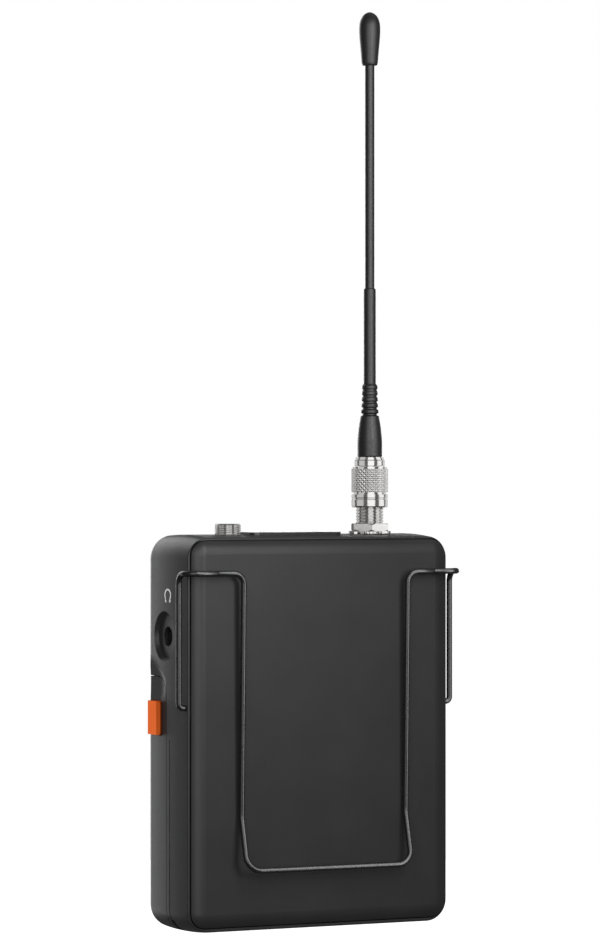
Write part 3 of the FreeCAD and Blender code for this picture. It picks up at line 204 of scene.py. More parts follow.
def wire(name, path, r, columns=28, tip=0.35):
    """Round wire along a path; its rounded tips are tip radii long."""
    rows = []
    side = (path[1] - path[0]).orthogonal().normalized()
    for i, p in enumerate(path):
        ahead = (path[min(i + 1, len(path) - 1)] - path[max(i - 1, 0)]).normalized()
        side = (side - ahead * side.dot(ahead)).normalized()
        rows.append((p, ahead, side.copy(), 1.0))
    (p0, t0, s0, _), (p1, t1, s1, _) = rows[0], rows[-1]
    start = [(p0 - t0 * r * tip * out, t0, s0, size) for size, out in reversed(WIRE_TIP)]
    end = [(p1 + t1 * r * tip * out, t1, s1, size) for size, out in WIRE_TIP]
    rows = start + rows[1:-1] + end
    points = []
    for p, ahead, side, size in rows:
        other = ahead.cross(side)
        points += [p + (side * math.cos(t) + other * math.sin(t)) * r * size for t in full_turn(columns)]
    faces = ring_grid(len(rows), columns) + end_faces((len(rows) - 1) * columns, columns)
    return new_mesh(name, points, faces, 60)


def flat_shape(name, outline, place, thick):
    """Thin printed shape: outline in two coordinates, place(a, b, lift) puts it in space."""
    count = len(outline)
    points = [place(a, b, 0.0) for a, b in outline] + [place(a, b, thick) for a, b in outline]
    faces = [tuple(range(count, 2 * count)), tuple(reversed(range(count)))]
    faces += [(j, (j + 1) % count, count + (j + 1) % count, count + j) for j in range(count)]
    return new_mesh(name, points, faces, 30)


def band(centre_line, half):
    """Outline of a ribbon of the given half width along a line of 2D points."""
    left, right = [], []
    for i, p in enumerate(centre_line):
        a, b = centre_line[max(i - 1, 0)], centre_line[min(i + 1, len(centre_line) - 1)]
        d = (Vector(b) - Vector(a)).normalized()
        n = Vector((-d.y, d.x)) * half
        left.append((p[0] + n.x, p[1] + n.y))
        right.append((p[0] - n.x, p[1] - n.y))
    return left + list(reversed(right))


def arc_points(cx, cy, r, start, end, count):
    """2D points along an arc from start to end degrees."""
    turns = [math.radians(start + (end - start) * k / count) for k in range(count + 1)]
    return [(cx + r * math.cos(t), cy + r * math.sin(t)) for t in turns]


# ---- Materials ----------------------------------------------------------------------------
def grained(name, colour, rough, grain_mm, depth_mm, mottle=0.12, rough_spread=0.08, metallic=0.0, **sockets):
    """Principled material with fine grain, slow colour drift and uneven gloss."""
    material = bpy.data.materials.new(name)
    material.use_nodes = True
    tree = material.node_tree
    shader = tree.nodes["Principled BSDF"]
    shader.inputs["Metallic"].default_value = metallic
    for socket, value in sockets.items():
        shader.inputs[socket.replace("_", " ")].default_value = value
    where = tree.nodes.new("ShaderNodeTexCoord")

    def noise(scale, detail):
        node = tree.nodes.new("ShaderNodeTexNoise")
        node.inputs["Scale"].default_value = scale
        node.inputs["Detail"].default_value = detail
        tree.links.new(where.outputs["Object"], node.inputs["Vector"])
        return node.outputs["Fac"]

    slow = noise(90.0, 4.0)
    fine = noise(1000.0 / grain_mm, 3.0)
    ramp = tree.nodes.new("ShaderNodeValToRGB")
    ramp.color_ramp.elements[0].position = 0.3
    ramp.color_ramp.elements[1].position = 0.7
    ramp.color_ramp.elements[0].color = [c * (1 - mottle) for c in colour] + [1]
    ramp.color_ramp.elements[1].color = [min(1, c * (1 + mottle)) for c in colour] + [1]
    tree.links.new(slow, ramp.inputs["Fac"])
    tree.links.new(ramp.outputs["Color"], shader.inputs["Base Color"])
    spread = tree.nodes.new("ShaderNodeMapRange")
    spread.inputs["From Min"].default_value = 0.3
    spread.inputs["From Max"].default_value = 0.7
    spread.inputs["To Min"].default_value = rough - rough_spread
    spread.inputs["To Max"].default_value = rough + rough_spread
    tree.links.new(fine, spread.inputs["Value"])
    tree.links.new(spread.outputs["Result"], shader.inputs["Roughness"])
    bump = tree.nodes.new("ShaderNodeBump")
    bump.inputs["Strength"].default_value = 0.6
    bump.inputs["Distance"].default_value = depth_mm * MM
    tree.links.new(fine, bump.inputs["Height"])
    tree.links.new(bump.outputs["Normal"], shader.inputs["Normal"])
    return material


def turned_metal(name, colour, rough):
    """Plated metal with fine turning lines round the vertical axis."""
    material = grained(name, colour, rough, 0.5, 0.004, 0.06, 0.05, 1.0)
    tree = material.node_tree
    where = tree.nodes["Texture Coordinate"]
    stretch = tree.nodes.new("ShaderNodeMapping")
    across, along = 60.0, 12500.0       # texture scale round the axis and along it
    stretch.inputs["Scale"].default_value = (across, across, along)
    lines = tree.nodes.new("ShaderNodeTexNoise")
    lines.inputs["Scale"].default_value = 1.0
    lines.inputs["Detail"].default_value = 2.0
    bump = tree.nodes.new("ShaderNodeBump")
    bump.inputs["Strength"].default_value = 0.35
    bump.inputs["Distance"].default_value = 0.006 * MM
    tree.links.new(where.outputs["Object"], stretch.inputs["Vector"])
    tree.links.new(stretch.outputs["Vector"], lines.inputs["Vector"])
    tree.links.new(lines.outputs["Fac"], bump.inputs["Height"])
    tree.links.new(tree.nodes["Bump"].outputs["Normal"], bump.inputs["Normal"])
    tree.links.new(bump.outputs["Normal"], tree.nodes["Principled BSDF"].inputs["Normal"])
    return material


def banded(name, low_colour, high_colour, split, rough):
    """Two printed colours that meet at one height, under a metallic film."""
    material = grained(name, low_colour, rough, 0.6, 0.003, 0.05, 0.05, 0.55)
    tree = material.node_tree
    shader = tree.nodes["Principled BSDF"]
    parts = tree.nodes.new("ShaderNodeSeparateXYZ")
    above = tree.nodes.new("ShaderNodeMath")
    above.operation = "GREATER_THAN"
    above.inputs[1].default_value = split
    mix = tree.nodes.new("ShaderNodeMix")
    mix.data_type = "RGBA"
    tree.links.new(tree.nodes["Texture Coordinate"].outputs["Object"], parts.inputs["Vector"])
    tree.links.new(parts.outputs["Z"], above.inputs[0])
    tree.links.new(above.outputs["Value"], mix.inputs["Factor"])
    tree.links.new(tree.nodes["Color Ramp"].outputs["Color"], mix.inputs["A"])
    mix.inputs["B"].default_value = list(high_colour) + [1]
    tree.links.new(mix.outputs["Result"], shader.inputs["Base Color"])
    return material


def lit(name, colour, strength):
    """Pale material that glows a little."""
    material = grained(name, colour, 0.5, 0.2, 0.002, 0.03)
    shader = material.node_tree.nodes["Principled BSDF"]
    shader.inputs["Emission Color"].default_value = list(colour) + [1]
    shader.inputs["Emission Strength"].default_value = strength
    return material


SCOOP_MIDDLE = Vector((HALF_WIDTH, -10.5 * MM, 54.2 * MM))
SCOOP_REACH = Vector((5.0, 9.5, 8.0)) * MM
SCOOP_EDGE = 0.28        # share of the reach over which the finish fades out


def scoop_finish(material, extra):
    """Rougher finish on the two finger scoops, fading out round them."""
    tree = material.node_tree
    shader = tree.nodes["Principled BSDF"]
    even = shader.inputs["Roughness"].links[0].from_socket
    parts = tree.nodes.new("ShaderNodeSeparateXYZ")
    either_side = tree.nodes.new("ShaderNodeMath")
    either_side.operation = "ABSOLUTE"
    whole = tree.nodes.new("ShaderNodeCombineXYZ")
    place = tree.nodes.new("ShaderNodeMapping")
    place.inputs["Scale"].default_value = [1 / r for r in SCOOP_REACH]
    place.inputs["Location"].default_value = [-m / r for m, r in zip(SCOOP_MIDDLE, SCOOP_REACH)]
    ball = tree.nodes.new("ShaderNodeTexGradient")
    ball.gradient_type = "SPHERICAL"
    fade = tree.nodes.new("ShaderNodeMapRange")
    fade.inputs["From Max"].default_value = SCOOP_EDGE
    fade.inputs["To Max"].default_value = extra
    total = tree.nodes.new("ShaderNodeMath")
    total.operation = "ADD"
    tree.links.new(tree.nodes["Texture Coordinate"].outputs["Object"], parts.inputs["Vector"])
    tree.links.new(parts.outputs["X"], either_side.inputs[0])
    tree.links.new(either_side.outputs["Value"], whole.inputs["X"])
    tree.links.new(parts.outputs["Y"], whole.inputs["Y"])
    tree.links.new(parts.outputs["Z"], whole.inputs["Z"])
    tree.links.new(whole.outputs["Vector"], place.inputs["Vector"])
    tree.links.new(place.outputs["Vector"], ball.inputs["Vector"])
    tree.links.new(ball.outputs["Fac"], fade.inputs["Value"])
    tree.links.new(even, total.inputs[0])
    tree.links.new(fade.outputs["Result"], total.inputs[1])
    tree.links.new(total.outputs["Value"], shader.inputs["Roughness"])


CELL_SPLIT = centre("battery_cell_left").z + 11 * MM
LOOKS = {
    "body": grained("soft_black_plastic", (0.022, 0.022, 0.023), 0.42, 0.28, 0.010, Specular_IOR_Level=0.42),
    "cover": grained("cover_black_plastic", (0.020, 0.020, 0.021), 0.44, 0.24, 0.010,
                     Specular_IOR_Level=0.45),
    "seal": grained("foam_rubber", (0.006, 0.006, 0.006), 0.8, 0.3, 0.03),
    "steel": grained("zinc_steel", (0.56, 0.56, 0.58), 0.32, 0.3, 0.004, 0.08, 0.08, 1.0),
    "latch": grained("orange_plastic", (0.90, 0.15, 0.018), 0.40, 0.25, 0.004, 0.05, Specular_IOR_Level=0.12),
    "inner": grained("inner_moulding", (0.006, 0.006, 0.007), 0.55, 0.4, 0.01),
    "cell": banded("cell_film", (0.02, 0.021, 0.023), (0.55, 0.30, 0.11), CELL_SPLIT, 0.28),
    "nickel": turned_metal("bright_nickel", (0.80, 0.79, 0.775), 0.15),
    "board": grained("solder_mask", (0.012, 0.075, 0.03), 0.35, 0.5, 0.006),
    "screen": grained("display_glass", (0.004, 0.004, 0.006), 0.12, 0.8, 0.001, 0.1, 0.03),
    "panel": grained("panel_plastic", (0.010, 0.010, 0.011), 0.3, 0.2, 0.005, 0.1, 0.05),
    "lens": grained("tinted_window", (0.003, 0.003, 0.004), 0.06, 1.5, 0.0006, 0.1, 0.02, Coat_Weight=0.5),
    "key": grained("key_rubber", (0.030, 0.030, 0.032), 0.55, 0.22, 0.012),
    "light": grained("light_pipe", (0.62, 0.66, 0.62), 0.25, 0.5, 0.002, 0.04, 0.04),
    "gold": grained("gold_flash", (0.85, 0.60, 0.22), 0.25, 0.3, 0.002, 0.05, 0.06, 1.0),
    "insulator": grained("white_insulator", (0.80, 0.80, 0.76), 0.4, 0.4, 0.004, 0.04),
    "rubber": grained("black_rubber", (0.013, 0.013, 0.014), 0.42, 0.35, 0.004, 0.15, 0.07),
    "wire": grained("coated_wire", (0.007, 0.007, 0.008), 0.30, 0.5, 0.0004, 0.15, 0.05),
    "plate": grained("satin_top_plate", (0.02, 0.02, 0.021), 0.25, 0.3, 0.002, 0.1, 0.05),
}
scoop_finish(LOOKS["body"], 0.38)
PRINT = grained("pale_print", (0.80, 0.80, 0.80), 0.5, 0.15, 0.004, 0.06)
# The side print glows a little: painted brightness on pale ink, which is no lamp.
GLOWING_PRINT = lit("glowing_side_print", (0.85, 0.85, 0.85), 0.22)
GLOW = lit("display_glow", (0.62, 0.75, 0.85), 0.55)


def dress(piece, slot, material=None):
    """Gives a piece the look of its slot, or another material in the same slot."""
    piece.data.materials.clear()
    piece.data.materials.append(material or LOOKS[slot])
    return piece


def dress_cad_nodes():
    """Every CAD node takes the look of its slot and smooth shading over its curved faces."""
    slots = {s["node"]: s["material_slot"] for s in frame["record"]["subparts"]}
    for node, piece in NODES.items():
        piece.data.materials.clear()
        piece.data.materials.append(LOOKS[slots[node]])
        shade(piece, 28)
    for node in LATCHES:
        soften(NODES[node], 0.8 * MM)
    for node in KEYS:
        soften(NODES[node], 0.15 * MM)
    NODES["top_plate"].data.materials[0] = LOOKS["plate"]


def soften(piece, width):
    """Small round along the sharp edges of a moulding."""
    bevel = piece.modifiers.new("edge_round", "BEVEL")
    bevel.width = width
    bevel.segments = 4
    bevel.limit_method = "ANGLE"
    bevel.angle_limit = math.radians(40)
    bevel.harden_normals = False


def stand_for(piece, body, slot, *nodes):
    """Puts a finished piece on its body in place of CAD nodes."""
    dress(piece, slot)
    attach(piece, body)
    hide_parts(*nodes)
    return piece


# ---- Threads, nuts and washers ------------------------------------------------------------
def saw(x):
    """Triangle wave from 0 to 1 with period 1."""
    return 1 - abs(2 * (x % 1.0) - 1)


THREAD_CHAMFER = 0.3 * MM


def threaded(low, high, r, pitch, depth):
    """Heights and side of a thread: a helical ridge, chamfered at the top."""
    def radius(turn, h):
        ridge = saw((h - low) / pitch - turn / (2 * math.pi))
        full = r - depth * (1 - min(1.0, ridge * 1.35))
        return min(full, r - THREAD_CHAMFER + max(0.0, high - h))
    rows = math.ceil((high - low) / pitch * 10)
    return [low + (high - low) * k / rows for k in range(rows + 1)], radius


def microphone_socket():
    low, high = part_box("mic_socket_barrel")
    r, bore, pitch, depth = (high.x - low.x) / 2, 1.8 * MM, 0.5 * MM, 0.27 * MM
    heights, radius = threaded(low.z, high.z, r, pitch, depth)
    barrel = radial("mic_barrel_thread", MIC, heights, radius, bore, 72, 50)
    stand_for(barrel, "pack", "nickel", "mic_socket_barrel")


def antenna_socket():
    """Quarter-inch thread, 36 turns an inch, with the flange that holds it under the housing's top."""
    low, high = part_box("antenna_socket")
    r, bore, pitch, depth = 3.175 * MM, 2.1 * MM, 0.706 * MM, 0.36 * MM
    flange_r, flange_low, flange_high = 4.6 * MM, TOP - 3.7 * MM, TOP - 2.1 * MM
    heights, radius = threaded(low.z, high.z, r, pitch, depth)

    def with_flange(turn, h):
        return flange_r if flange_low < h < flange_high else radius(turn, h)

    jack = radial("antenna_thread", ANTENNA, heights, with_flange, bore, 72, 50)
    stand_for(jack, "pack", "nickel", "antenna_socket")


def hexagon_nut():
    """Nut of 8 mm across flats, its corners rounded off at the top and bottom."""
    low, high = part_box("hex_nut")
    flat, bore, corner_cut, slope = 4.0 * MM, 3.18 * MM, 0.42 * MM, 1.3
    turn_by = math.radians(10)
    reach = flat / math.cos(math.pi / 6)

    def radius(turn, h):
        local = (turn - turn_by + math.pi / 6) % (math.pi / 3) - math.pi / 6
        side = flat / math.cos(math.pi / 6 - abs(local))
        edge = min(high.z - h, h - low.z)
        return min(side, reach - corner_cut + max(0.0, edge) * slope)

    shares = (0, 0.06, 0.12, 0.18, 0.25, 0.5, 0.75, 0.82, 0.88, 0.94, 1)
    heights = [low.z + (high.z - low.z) * share for share in shares]
    nut = radial("hexagon_nut", ANTENNA, heights, radius, bore, 144, 28)
    stand_for(nut, "pack", "nickel", "hex_nut")


def toothed_washer():
    """Lock washer with external teeth, each twisted a little up and down."""
    low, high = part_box("lock_washer")
    teeth, root_r, tooth, bore, twist, edge = 16, 4.25 * MM, 0.6 * MM, 3.2 * MM, 0.06 * MM, 0.1 * MM

    def radius(turn, h):
        lobe = min(1.0, max(0.0, saw(turn * teeth / (2 * math.pi)) * 3 - 0.8))
        return root_r + tooth * lobe

    heights = [low.z, low.z + edge, high.z - edge, high.z]
    washer = radial("toothed_washer", ANTENNA, heights, radius, bore, 192)
    for vertex in washer.data.vertices:
        local = Vector((vertex.co.x - ANTENNA.x, vertex.co.y - ANTENNA.y))
        if local.length > root_r + 0.05 * MM:
            vertex.co.z += twist * math.sin(math.atan2(local.y, local.x) * teeth)
    stand_for(washer, "pack", "nickel", "lock_washer")


def knurled_nut():
    """Coupling nut: plain lower ring with a fine line, groove, diamond knurl and a neck at the top."""
    low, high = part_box("coupling_nut")
    ring_r, knurl_r, bore, bevel = 4.17 * MM, 4.24 * MM, 3.22 * MM, 0.3 * MM
    line, line_half, line_depth = low.z + 2.0 * MM, 0.2 * MM, 0.12 * MM
    groove, groove_wide, groove_depth = low.z + 3.0 * MM, 0.45 * MM, 0.5 * MM
    neck_wide, neck_depth = 0.5 * MM, 0.35 * MM
    ridges, lean, depth = 26, 1.05, 0.20 * MM

    def radius(turn, h):
        edge = min(high.z - h, h - low.z)
        if h < groove:
            full = ring_r - (line_depth if abs(h - line) < line_half else 0.0)
        elif h < groove + groove_wide:
            full = ring_r - groove_depth
        elif h > high.z - neck_wide:
            full = knurl_r - neck_depth
        else:
            slide = (h - groove) / knurl_r * lean
            first = saw((turn + slide) * ridges / (2 * math.pi))
            second = saw((turn - slide) * ridges / (2 * math.pi))
            full = knurl_r - depth * (1 - min(1.0, 1.5 * first * second + 0.25 * (first + second)))
        return min(full, ring_r - bevel + max(0.0, edge))

    rows = math.ceil((high.z - low.z) / (0.075 * MM))
    heights = [low.z + (high.z - low.z) * k / rows for k in range(rows + 1)]
    nut = radial("knurled_nut", ANTENNA, heights, radius, bore, 300, 60)
    stand_for(nut, "coupling_nut", "nickel", "coupling_nut")


# ---- Antenna ------------------------------------------------------------------------------
def ferrule():
    """Flange inside the coupling nut, neck through it and a bevelled head above it."""
    low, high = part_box("antenna_ferrule")
    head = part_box("coupling_nut")[1].z + 0.1 * MM
    flange = low.z + 1.3 * MM
    bore, neck_r, flange_r, head_r, step_r, top_r = (r * MM for r in (0.66, 2.35, 2.85, 3.47, 3.25, 3.1))
    knots = [(low.z, flange_r), (flange, flange_r), (flange, neck_r), (head, neck_r), (head, 3.3 * MM),
             (head + 0.15 * MM, head_r), (head + 1.3 * MM, head_r), (head + 1.45 * MM, step_r),
             (head + 1.7 * MM, step_r), (high.z, top_r)]
    piece = lathe("ferrule", ANTENNA, knots, bore)
    stand_for(piece, "antenna", "nickel", "antenna_ferrule")


def rubber_boot():
    """One rubber boot from the ferrule to the sleeve, with a ribbed tail."""
    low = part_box("antenna_boot")[0].z
    cone_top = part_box("antenna_boot")[1].z
    tail_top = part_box("boot_tail")[1].z
    knots = [(low, 2.6 * MM), (low + 0.15 * MM, 2.86 * MM), (low + 4.0 * MM, 2.86 * MM),
             (low + 6.8 * MM, 2.58 * MM), (cone_top - 0.4 * MM, 2.2 * MM), (cone_top, 2.1 * MM)]
    ribs = (2.05, 1.95, 1.9, 1.86, 1.83)
    pitch = (tail_top - cone_top) / len(ribs)
    for k, rib in enumerate(ribs):
        foot = cone_top + k * pitch
        knots += [(foot + 0.08 * MM, 1.68 * MM), (foot + 0.36 * pitch, 1.62 * MM),
                  (foot + 0.42 * pitch, rib * MM), (foot + 0.92 * pitch, (rib - 0.04) * MM)]
    knots += [(tail_top, 1.64 * MM), (tail_top + 0.25 * MM, 1.5 * MM), (tail_top + 0.3 * MM, 1.36 * MM)]
    boot = lathe("rubber_boot", ANTENNA, rounded(knots, 0.2 * MM), None, 64, 0.22 * MM, 50)
    dress(boot, "rubber")
    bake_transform(boot)
    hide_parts("antenna_boot", "boot_tail")


def whip():
    """Sleeve over the foot of the rod, the coated rod itself and the drop-shaped cap."""
    foot, sleeve_top = (p.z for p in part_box("whip_sleeve"))
    cap_low, cap_top = (p.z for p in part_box("whip_cap"))
    sleeve = [(foot, 1.39 * MM), (foot + 0.6 * MM, 1.41 * MM), (foot + 7 * MM, 1.40 * MM),
              (sleeve_top - 0.5 * MM, 1.41 * MM), (sleeve_top - 0.1 * MM, 1.34 * MM), (sleeve_top, 1.12 * MM)]
    piece = lathe("shrink_sleeve", ANTENNA, rounded(sleeve, 0.15 * MM), 1.07 * MM, 48, 0.6 * MM)
    stand_for(piece, "whip", "rubber", "whip_sleeve")
    rod = [(foot - 1.0 * MM, 1.08 * MM), (cap_low + 2.0 * MM, 1.08 * MM)]
    piece = lathe("coated_whip", ANTENNA, rod, 0.52 * MM, 40, 3 * MM)
    stand_for(piece, "whip", "rubber", "whip_rod")
    profile = ((0.0, 1.45), (0.12, 1.66), (0.5, 1.78), (2.6, 1.93), (4.4, 2.08), (6.2, 2.24), (7.6, 2.31),
               (8.6, 2.31), (9.6, 2.25), (10.6, 2.0), (11.3, 1.64), (11.8, 1.2), (12.15, 0.65), (12.29, 0.12))
    scale, fuller = (cap_top - cap_low) / (12.3 * MM), 1.05
    knots = [(cap_low + h * MM * scale, r * fuller * MM) for h, r in profile]
    piece = lathe("whip_cap_moulding", ANTENNA, rounded(knots, 1.0 * MM, 5), None, 64, 0.3 * MM, 60)
    stand_for(piece, "whip", "rubber", "whip_cap")


# ---- Belt clip ----------------------------------------------------------------------------
def belt_clip():
    """One wire to the eye: two arms on the pack and the loop between them."""
    r = 0.65 * MM
    arm_low, arm_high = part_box("clip_arm_right")
    loop_low, loop_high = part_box("clip_loop")
    x, y = arm_high.x - r, arm_low.y + r
    hole_z, cross_z = arm_low.z + r, arm_high.z - r
    cross_y = arm_high.y - r
    end_x = HALF_WIDTH - 2.2 * MM
    arm = [Vector((end_x, y, hole_z)), Vector((x, y, hole_z)), Vector((x, y, cross_z)),
           Vector((x, cross_y, cross_z)), Vector((loop_high.x, cross_y, cross_z))]
    bend = 2.5 * MM
    path = bent_path(arm, (1.6 * r, bend, bend))
    for side, node in ((1, "clip_arm_right"), (-1, "clip_arm_left")):
        line = [Vector((side * p.x, p.y, p.z)) for p in path]
        stand_for(wire(node + "_wire", line, r), "pack", "wire", node)
    half, kink_z, cover_gap = 20.7 * MM, 26.0 * MM, 0.45 * MM
    kink_y = COVER_Y + cover_gap + r
    bottom_y, bottom_z = loop_high.y - r, loop_low.z + r
    right = [Vector((loop_high.x - 0.3 * MM, cross_y, cross_z)), Vector((half, cross_y, cross_z)),
             Vector((half, kink_y, kink_z)), Vector((half, bottom_y, bottom_z))]
    left = [Vector((-p.x, p.y, p.z)) for p in reversed(right)]
    bends = (bend, 6 * MM, 3.5 * MM)
    loop = wire("clip_loop_wire", bent_path(right + left, bends + tuple(reversed(bends))), r)
    stand_for(loop, "belt_clip", "wire", "clip_loop")


# ---- Cells --------------------------------------------------------------------------------
def cells():
    """Two AA cans; the right-hand one stands on its head."""
    for node, nub_up in (("battery_cell_left", True), ("battery_cell_right", False)):
        low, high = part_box(node)
        axis = (low + high) / 2
        r, can_r = (high.x - low.x) / 2 - 0.02 * MM, 7.23
        knots = [(0.0, 5.6), (0.1, 6.4), (0.5, 7.0), (0.9, can_r), (48.2, can_r), (48.7, 7.05), (48.95, 6.5),
                 (49.1, 5.2), (49.1, 2.75), (50.2, 2.75), (50.5, 2.4)]
        knots = [(h * MM, rr / can_r * r) for h, rr in knots]
        if nub_up:
            rows = [(low.z + h, rr) for h, rr in knots]
        else:
            rows = [(high.z - h, rr) for h, rr in reversed(knots)]
        piece = lathe(node + "_can", axis, rounded(rows, 0.2 * MM), None, 72, 1.5 * MM, 40)
        stand_for(piece, "pack", "cell", node)


# ---- Printed marks ------------------------------------------------------------------------
INK = 0.03 * MM


def side_x(y):
    """Outer side of the housing at a depth."""
    return HALF_WIDTH - CROWN_R + math.sqrt(CROWN_R ** 2 - (y - CROWN_Y) ** 2)


def headphone_mark():
    """Plain headphone symbol above the headphone socket: a band and two ear cups."""
    dish = centre("headphone_socket")
    y0, z0 = 0.5 * MM, dish.z + 9.27 * MM
    thick, squat = 0.23 * MM, 0.88

    def place(a, b, lift):
        return Vector((side_x(y0 + a) + (lift + 0.02 * MM), y0 + a, z0 + squat * b))

    strokes = [
        arc_points(0, 0.1 * MM, 1.45 * MM, -42, 222, 26),
        [(-1.15 * MM, -1.0 * MM), (-1.0 * MM, -1.75 * MM)],
        [(1.15 * MM, -1.0 * MM), (1.0 * MM, -1.75 * MM)],
    ]
    for k, (line, half) in enumerate(zip(strokes, (thick * 0.95, thick * 1.35, thick * 1.35))):
        mark = flat_shape("headphone_mark_%d" % k, band(line, half), place, INK)
        # The headphone symbol wears the glowing print: painted brightness on top of the pale ink.
        dress(mark, "body", GLOWING_PRINT)
        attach(mark, "pack")


def front_place(node):
    """Maps two coordinates onto the front of a node, seen from the front."""
    middle = centre(node)
    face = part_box(node)[0].y

    def place(a, b, lift):
        return Vector((middle.x + a, face - lift, middle.z + b))
    return place


def key_marks():
    """Printed triangles, a ring and a generic power symbol on the keys."""
    size = 1.0 * MM
    triangle = [(-size, -0.6 * size), (size, -0.6 * size), (0, 0.9 * size)]
    flipped = [(a, -b) for a, b in reversed(triangle)]
    ring = band(arc_points(0, 0, 0.95 * MM, 0, 359, 40), 0.16 * MM)
    power = band(arc_points(0, 0, 1.15 * MM, 125, 415, 36), 0.17 * MM)
    stem = band([(0, 0.2 * MM), (0, 1.5 * MM)], 0.17 * MM)
    for node, name, outline in (
            ("key_up", "mark_up", triangle),
            ("key_down", "mark_down", flipped),
            ("key_set", "mark_set", ring),
            ("power_key", "mark_power", power), ("power_key", "mark_power_stem", stem)):
        mark = flat_shape(name, outline, front_place(node), INK)
        dress(mark, "key", PRINT)
        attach(mark, node)


def box_outline(left, low, right, high):
    return [(left, low), (right, low), (right, high), (left, high)]


def glowing(name, outline):
    """Lit shape on the front of the display window."""
    bar = flat_shape(name, outline, front_place("display_window"), 0.01 * MM)
    dress(bar, "lens", GLOW)
    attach(bar, "pack")


def display_graphics():
    """Generic level bars and a battery outline with three cells."""
    level_x, level_z, level_pitch, level_rise, bar_wide = (v * MM for v in (-14.5, -5.6, 1.6, 0.28, 1.1))
    cell_x, cell_z, cell_pitch, cell_tall, line_half = (v * MM for v in (10.6, 4.0, 1.5, 1.6, 0.12))
    boxes = []
    for k in range(14):
        left = level_x + level_pitch * k
        boxes.append((left, level_z, left + bar_wide, level_z + 1.2 * MM + level_rise * k))
    for k in range(3):
        left = cell_x + cell_pitch * k
        boxes.append((left, cell_z, left + bar_wide, cell_z + cell_tall))
    for k, box in enumerate(boxes):
        glowing("display_bar_%02d" % k, box_outline(*box))
    corners = box_outline(10.0 * MM, 3.4 * MM, 15.3 * MM, 6.2 * MM)
    for k, pair in enumerate(zip(corners, corners[1:] + corners[:1])):
        glowing("battery_frame_%d" % k, band(pair, line_half))


# ---- Stage, lights and camera -------------------------------------------------------------
YAW = math.radians(26.4)      # the camera looks level, this far off the rear's normal
LENS_MM = 157.09
SHIFT_X = -0.0004
CAMERA = Vector((420.2, 847.0, 102.8)) * MM
FLOOR_R = 0.3
FLOOR_Z = -13 * MM
ROOM_SEEN = 1.0               # brightness of the room to the camera, and as a light
ROOM_LIGHT = 0.125
AIM_Z = 0.06


def stage_floor():
    """Pale round table top, low enough for the open battery door, which hangs below the pack."""
    rim = [(FLOOR_R * math.cos(t), FLOOR_R * math.sin(t), FLOOR_Z) for t in full_turn(96)]
    floor = new_mesh("floor", rim, [tuple(range(len(rim)))])
    material = grained("pale_floor", (0.5, 0.5, 0.5), 0.8, 4.0, 0.02, 0.01)
    shader = material.node_tree.nodes["Principled BSDF"]
    shader.inputs["Emission Color"].default_value = (1, 1, 1, 1)
    shader.inputs["Emission Strength"].default_value = 0.93
    floor.data.materials.append(material)
    floor.visible_diffuse = False
    floor.visible_glossy = False


def softbox(name, angle, distance, height, wide, tall, power, only, aim_x=0.0):
    """Area light for some pieces, at an angle round the pack (0 = +X, 90 = +Y), facing its middle."""
    lamp = bpy.data.lights.new(name, "AREA")
    lamp.shape = "RECTANGLE"
    lamp.size, lamp.size_y = wide, tall
    lamp.energy = power
    spot = bpy.data.objects.new(name, lamp)
    a = math.radians(angle)
    spot.location = Vector((distance * math.cos(a), distance * math.sin(a), height))
    direction = Vector((aim_x, 0, AIM_Z)) - spot.location
    spot.rotation_mode = "QUATERNION"
    spot.rotation_quaternion = direction.to_track_quat("-Z", "Y")
    spot.visible_camera = False
    bpy.context.scene.collection.objects.link(spot)
    spot.light_linking.receiver_collection = only


def group(name, slots, others=False):
    """Pieces that wear one of the given looks, or all the others, for lights of their own."""
    chosen = {LOOKS[slot].name for slot in slots}
    collection = bpy.data.collections.new(name)
    for piece in bpy.context.scene.objects:
        if piece.type == "MESH" and piece.data.materials:
            if (piece.data.materials[0].name in chosen) != others:
                collection.objects.link(piece)
    return collection


def world():
    """Plain white to look at, dimmer as a light."""
    sky = bpy.data.worlds.new("studio")
    bpy.context.scene.world = sky
    sky.use_nodes = True
    tree = sky.node_tree
    background = tree.nodes["Background"]
    background.inputs["Color"].default_value = (1, 1, 1, 1)
    rays = tree.nodes.new("ShaderNodeLightPath")
    level = tree.nodes.new("ShaderNodeMapRange")
    level.inputs["To Min"].default_value = ROOM_LIGHT
    level.inputs["To Max"].default_value = ROOM_SEEN
    tree.links.new(rays.outputs["Is Camera Ray"], level.inputs["Value"])
    tree.links.new(level.outputs["Result"], background.inputs["Strength"])


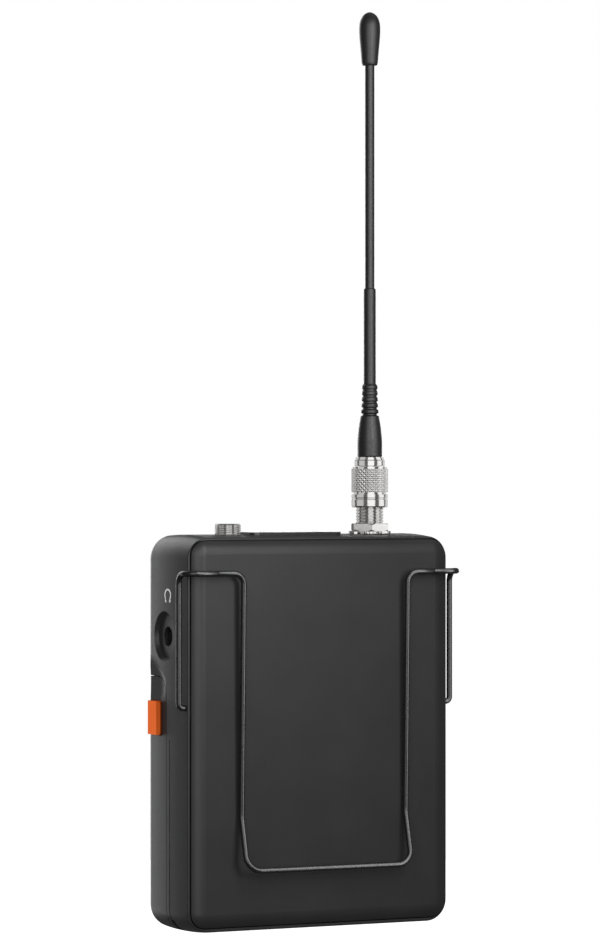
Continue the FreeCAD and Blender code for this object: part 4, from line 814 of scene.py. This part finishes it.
def lights():
    """Dim room, shaped softboxes for the plastic, and lights of their own for the other looks."""
    world()
    metal = group("metal_pieces", ("nickel",))
    matte = group("matte_pieces", ("nickel", "latch"), others=True)
    latches = group("latches", ("latch",))
    rubber = group("rubber_pieces", ("rubber",))
    wires = group("wires", ("wire",))
    # name, degrees, then metres: distance, height, width and tallness; watts; lit pieces; metres aimed to +X
    for row in (
            ("rim_side", -84, 0.75, 0.20, 0.44, 0.90, 2.70, matte),
            ("gradient_rear", 97, 0.24, 0.18, 0.10, 0.24, 0.46, matte, 0.02),
            ("cover_left", 58, 0.60, 0.20, 0.44, 0.45, 1.90, matte),
            ("overhead", 200, 0.30, 1.00, 0.80, 0.80, 0.60, matte),
            ("back_glow", -116, 1.00, 0.16, 1.10, 0.16, 2.00, matte),
            ("metal_front", 74, 0.60, 0.12, 0.54, 0.90, 1.60, metal),
            ("metal_left_near", -2, 0.60, 0.12, 0.58, 0.90, 0.85, metal),
            ("metal_left_far", -72, 0.60, 0.12, 0.50, 0.90, 0.85, metal),
            ("metal_right_near", 146, 0.60, 0.12, 0.46, 0.90, 1.20, metal),
            ("metal_right_far", 205, 0.60, 0.12, 0.50, 0.90, 0.85, metal),
            ("rubber_strip", 122, 0.80, 0.15, 0.14, 1.00, 2.20, rubber),
            ("wire_strip", 124, 0.80, 0.12, 0.24, 1.00, 7.00, wires),
            ("wire_top", 112, 0.55, 0.65, 0.50, 0.25, 2.50, wires),
            ("latch_side", -14, 0.60, 0.22, 0.25, 0.40, 2.60, latches),
            ("latch_glint", -52, 0.60, 0.22, 0.05, 0.40, 0.40, latches)):
        softbox(*row)


def camera():
    data = bpy.data.cameras.new("camera")
    data.lens = LENS_MM
    data.sensor_width = 36.0
    data.clip_end = 20.0
    data.shift_x = SHIFT_X
    eye = bpy.data.objects.new("camera", data)
    eye.location = CAMERA
    ahead = Vector((-math.sin(YAW), -math.cos(YAW), 0))
    eye.rotation_mode = "QUATERNION"
    eye.rotation_quaternion = ahead.to_track_quat("-Z", "Y")
    bpy.context.scene.collection.objects.link(eye)
    bpy.context.scene.camera = eye


def main():
    camera()
    stage_floor()
    bpy.context.scene.view_settings.view_transform = "Standard"
    dress_cad_nodes()
    microphone_socket()
    antenna_socket()
    hexagon_nut()
    toothed_washer()
    knurled_nut()
    ferrule()
    rubber_boot()
    whip()
    belt_clip()
    cells()
    headphone_mark()
    key_marks()
    display_graphics()
    lights()


main()
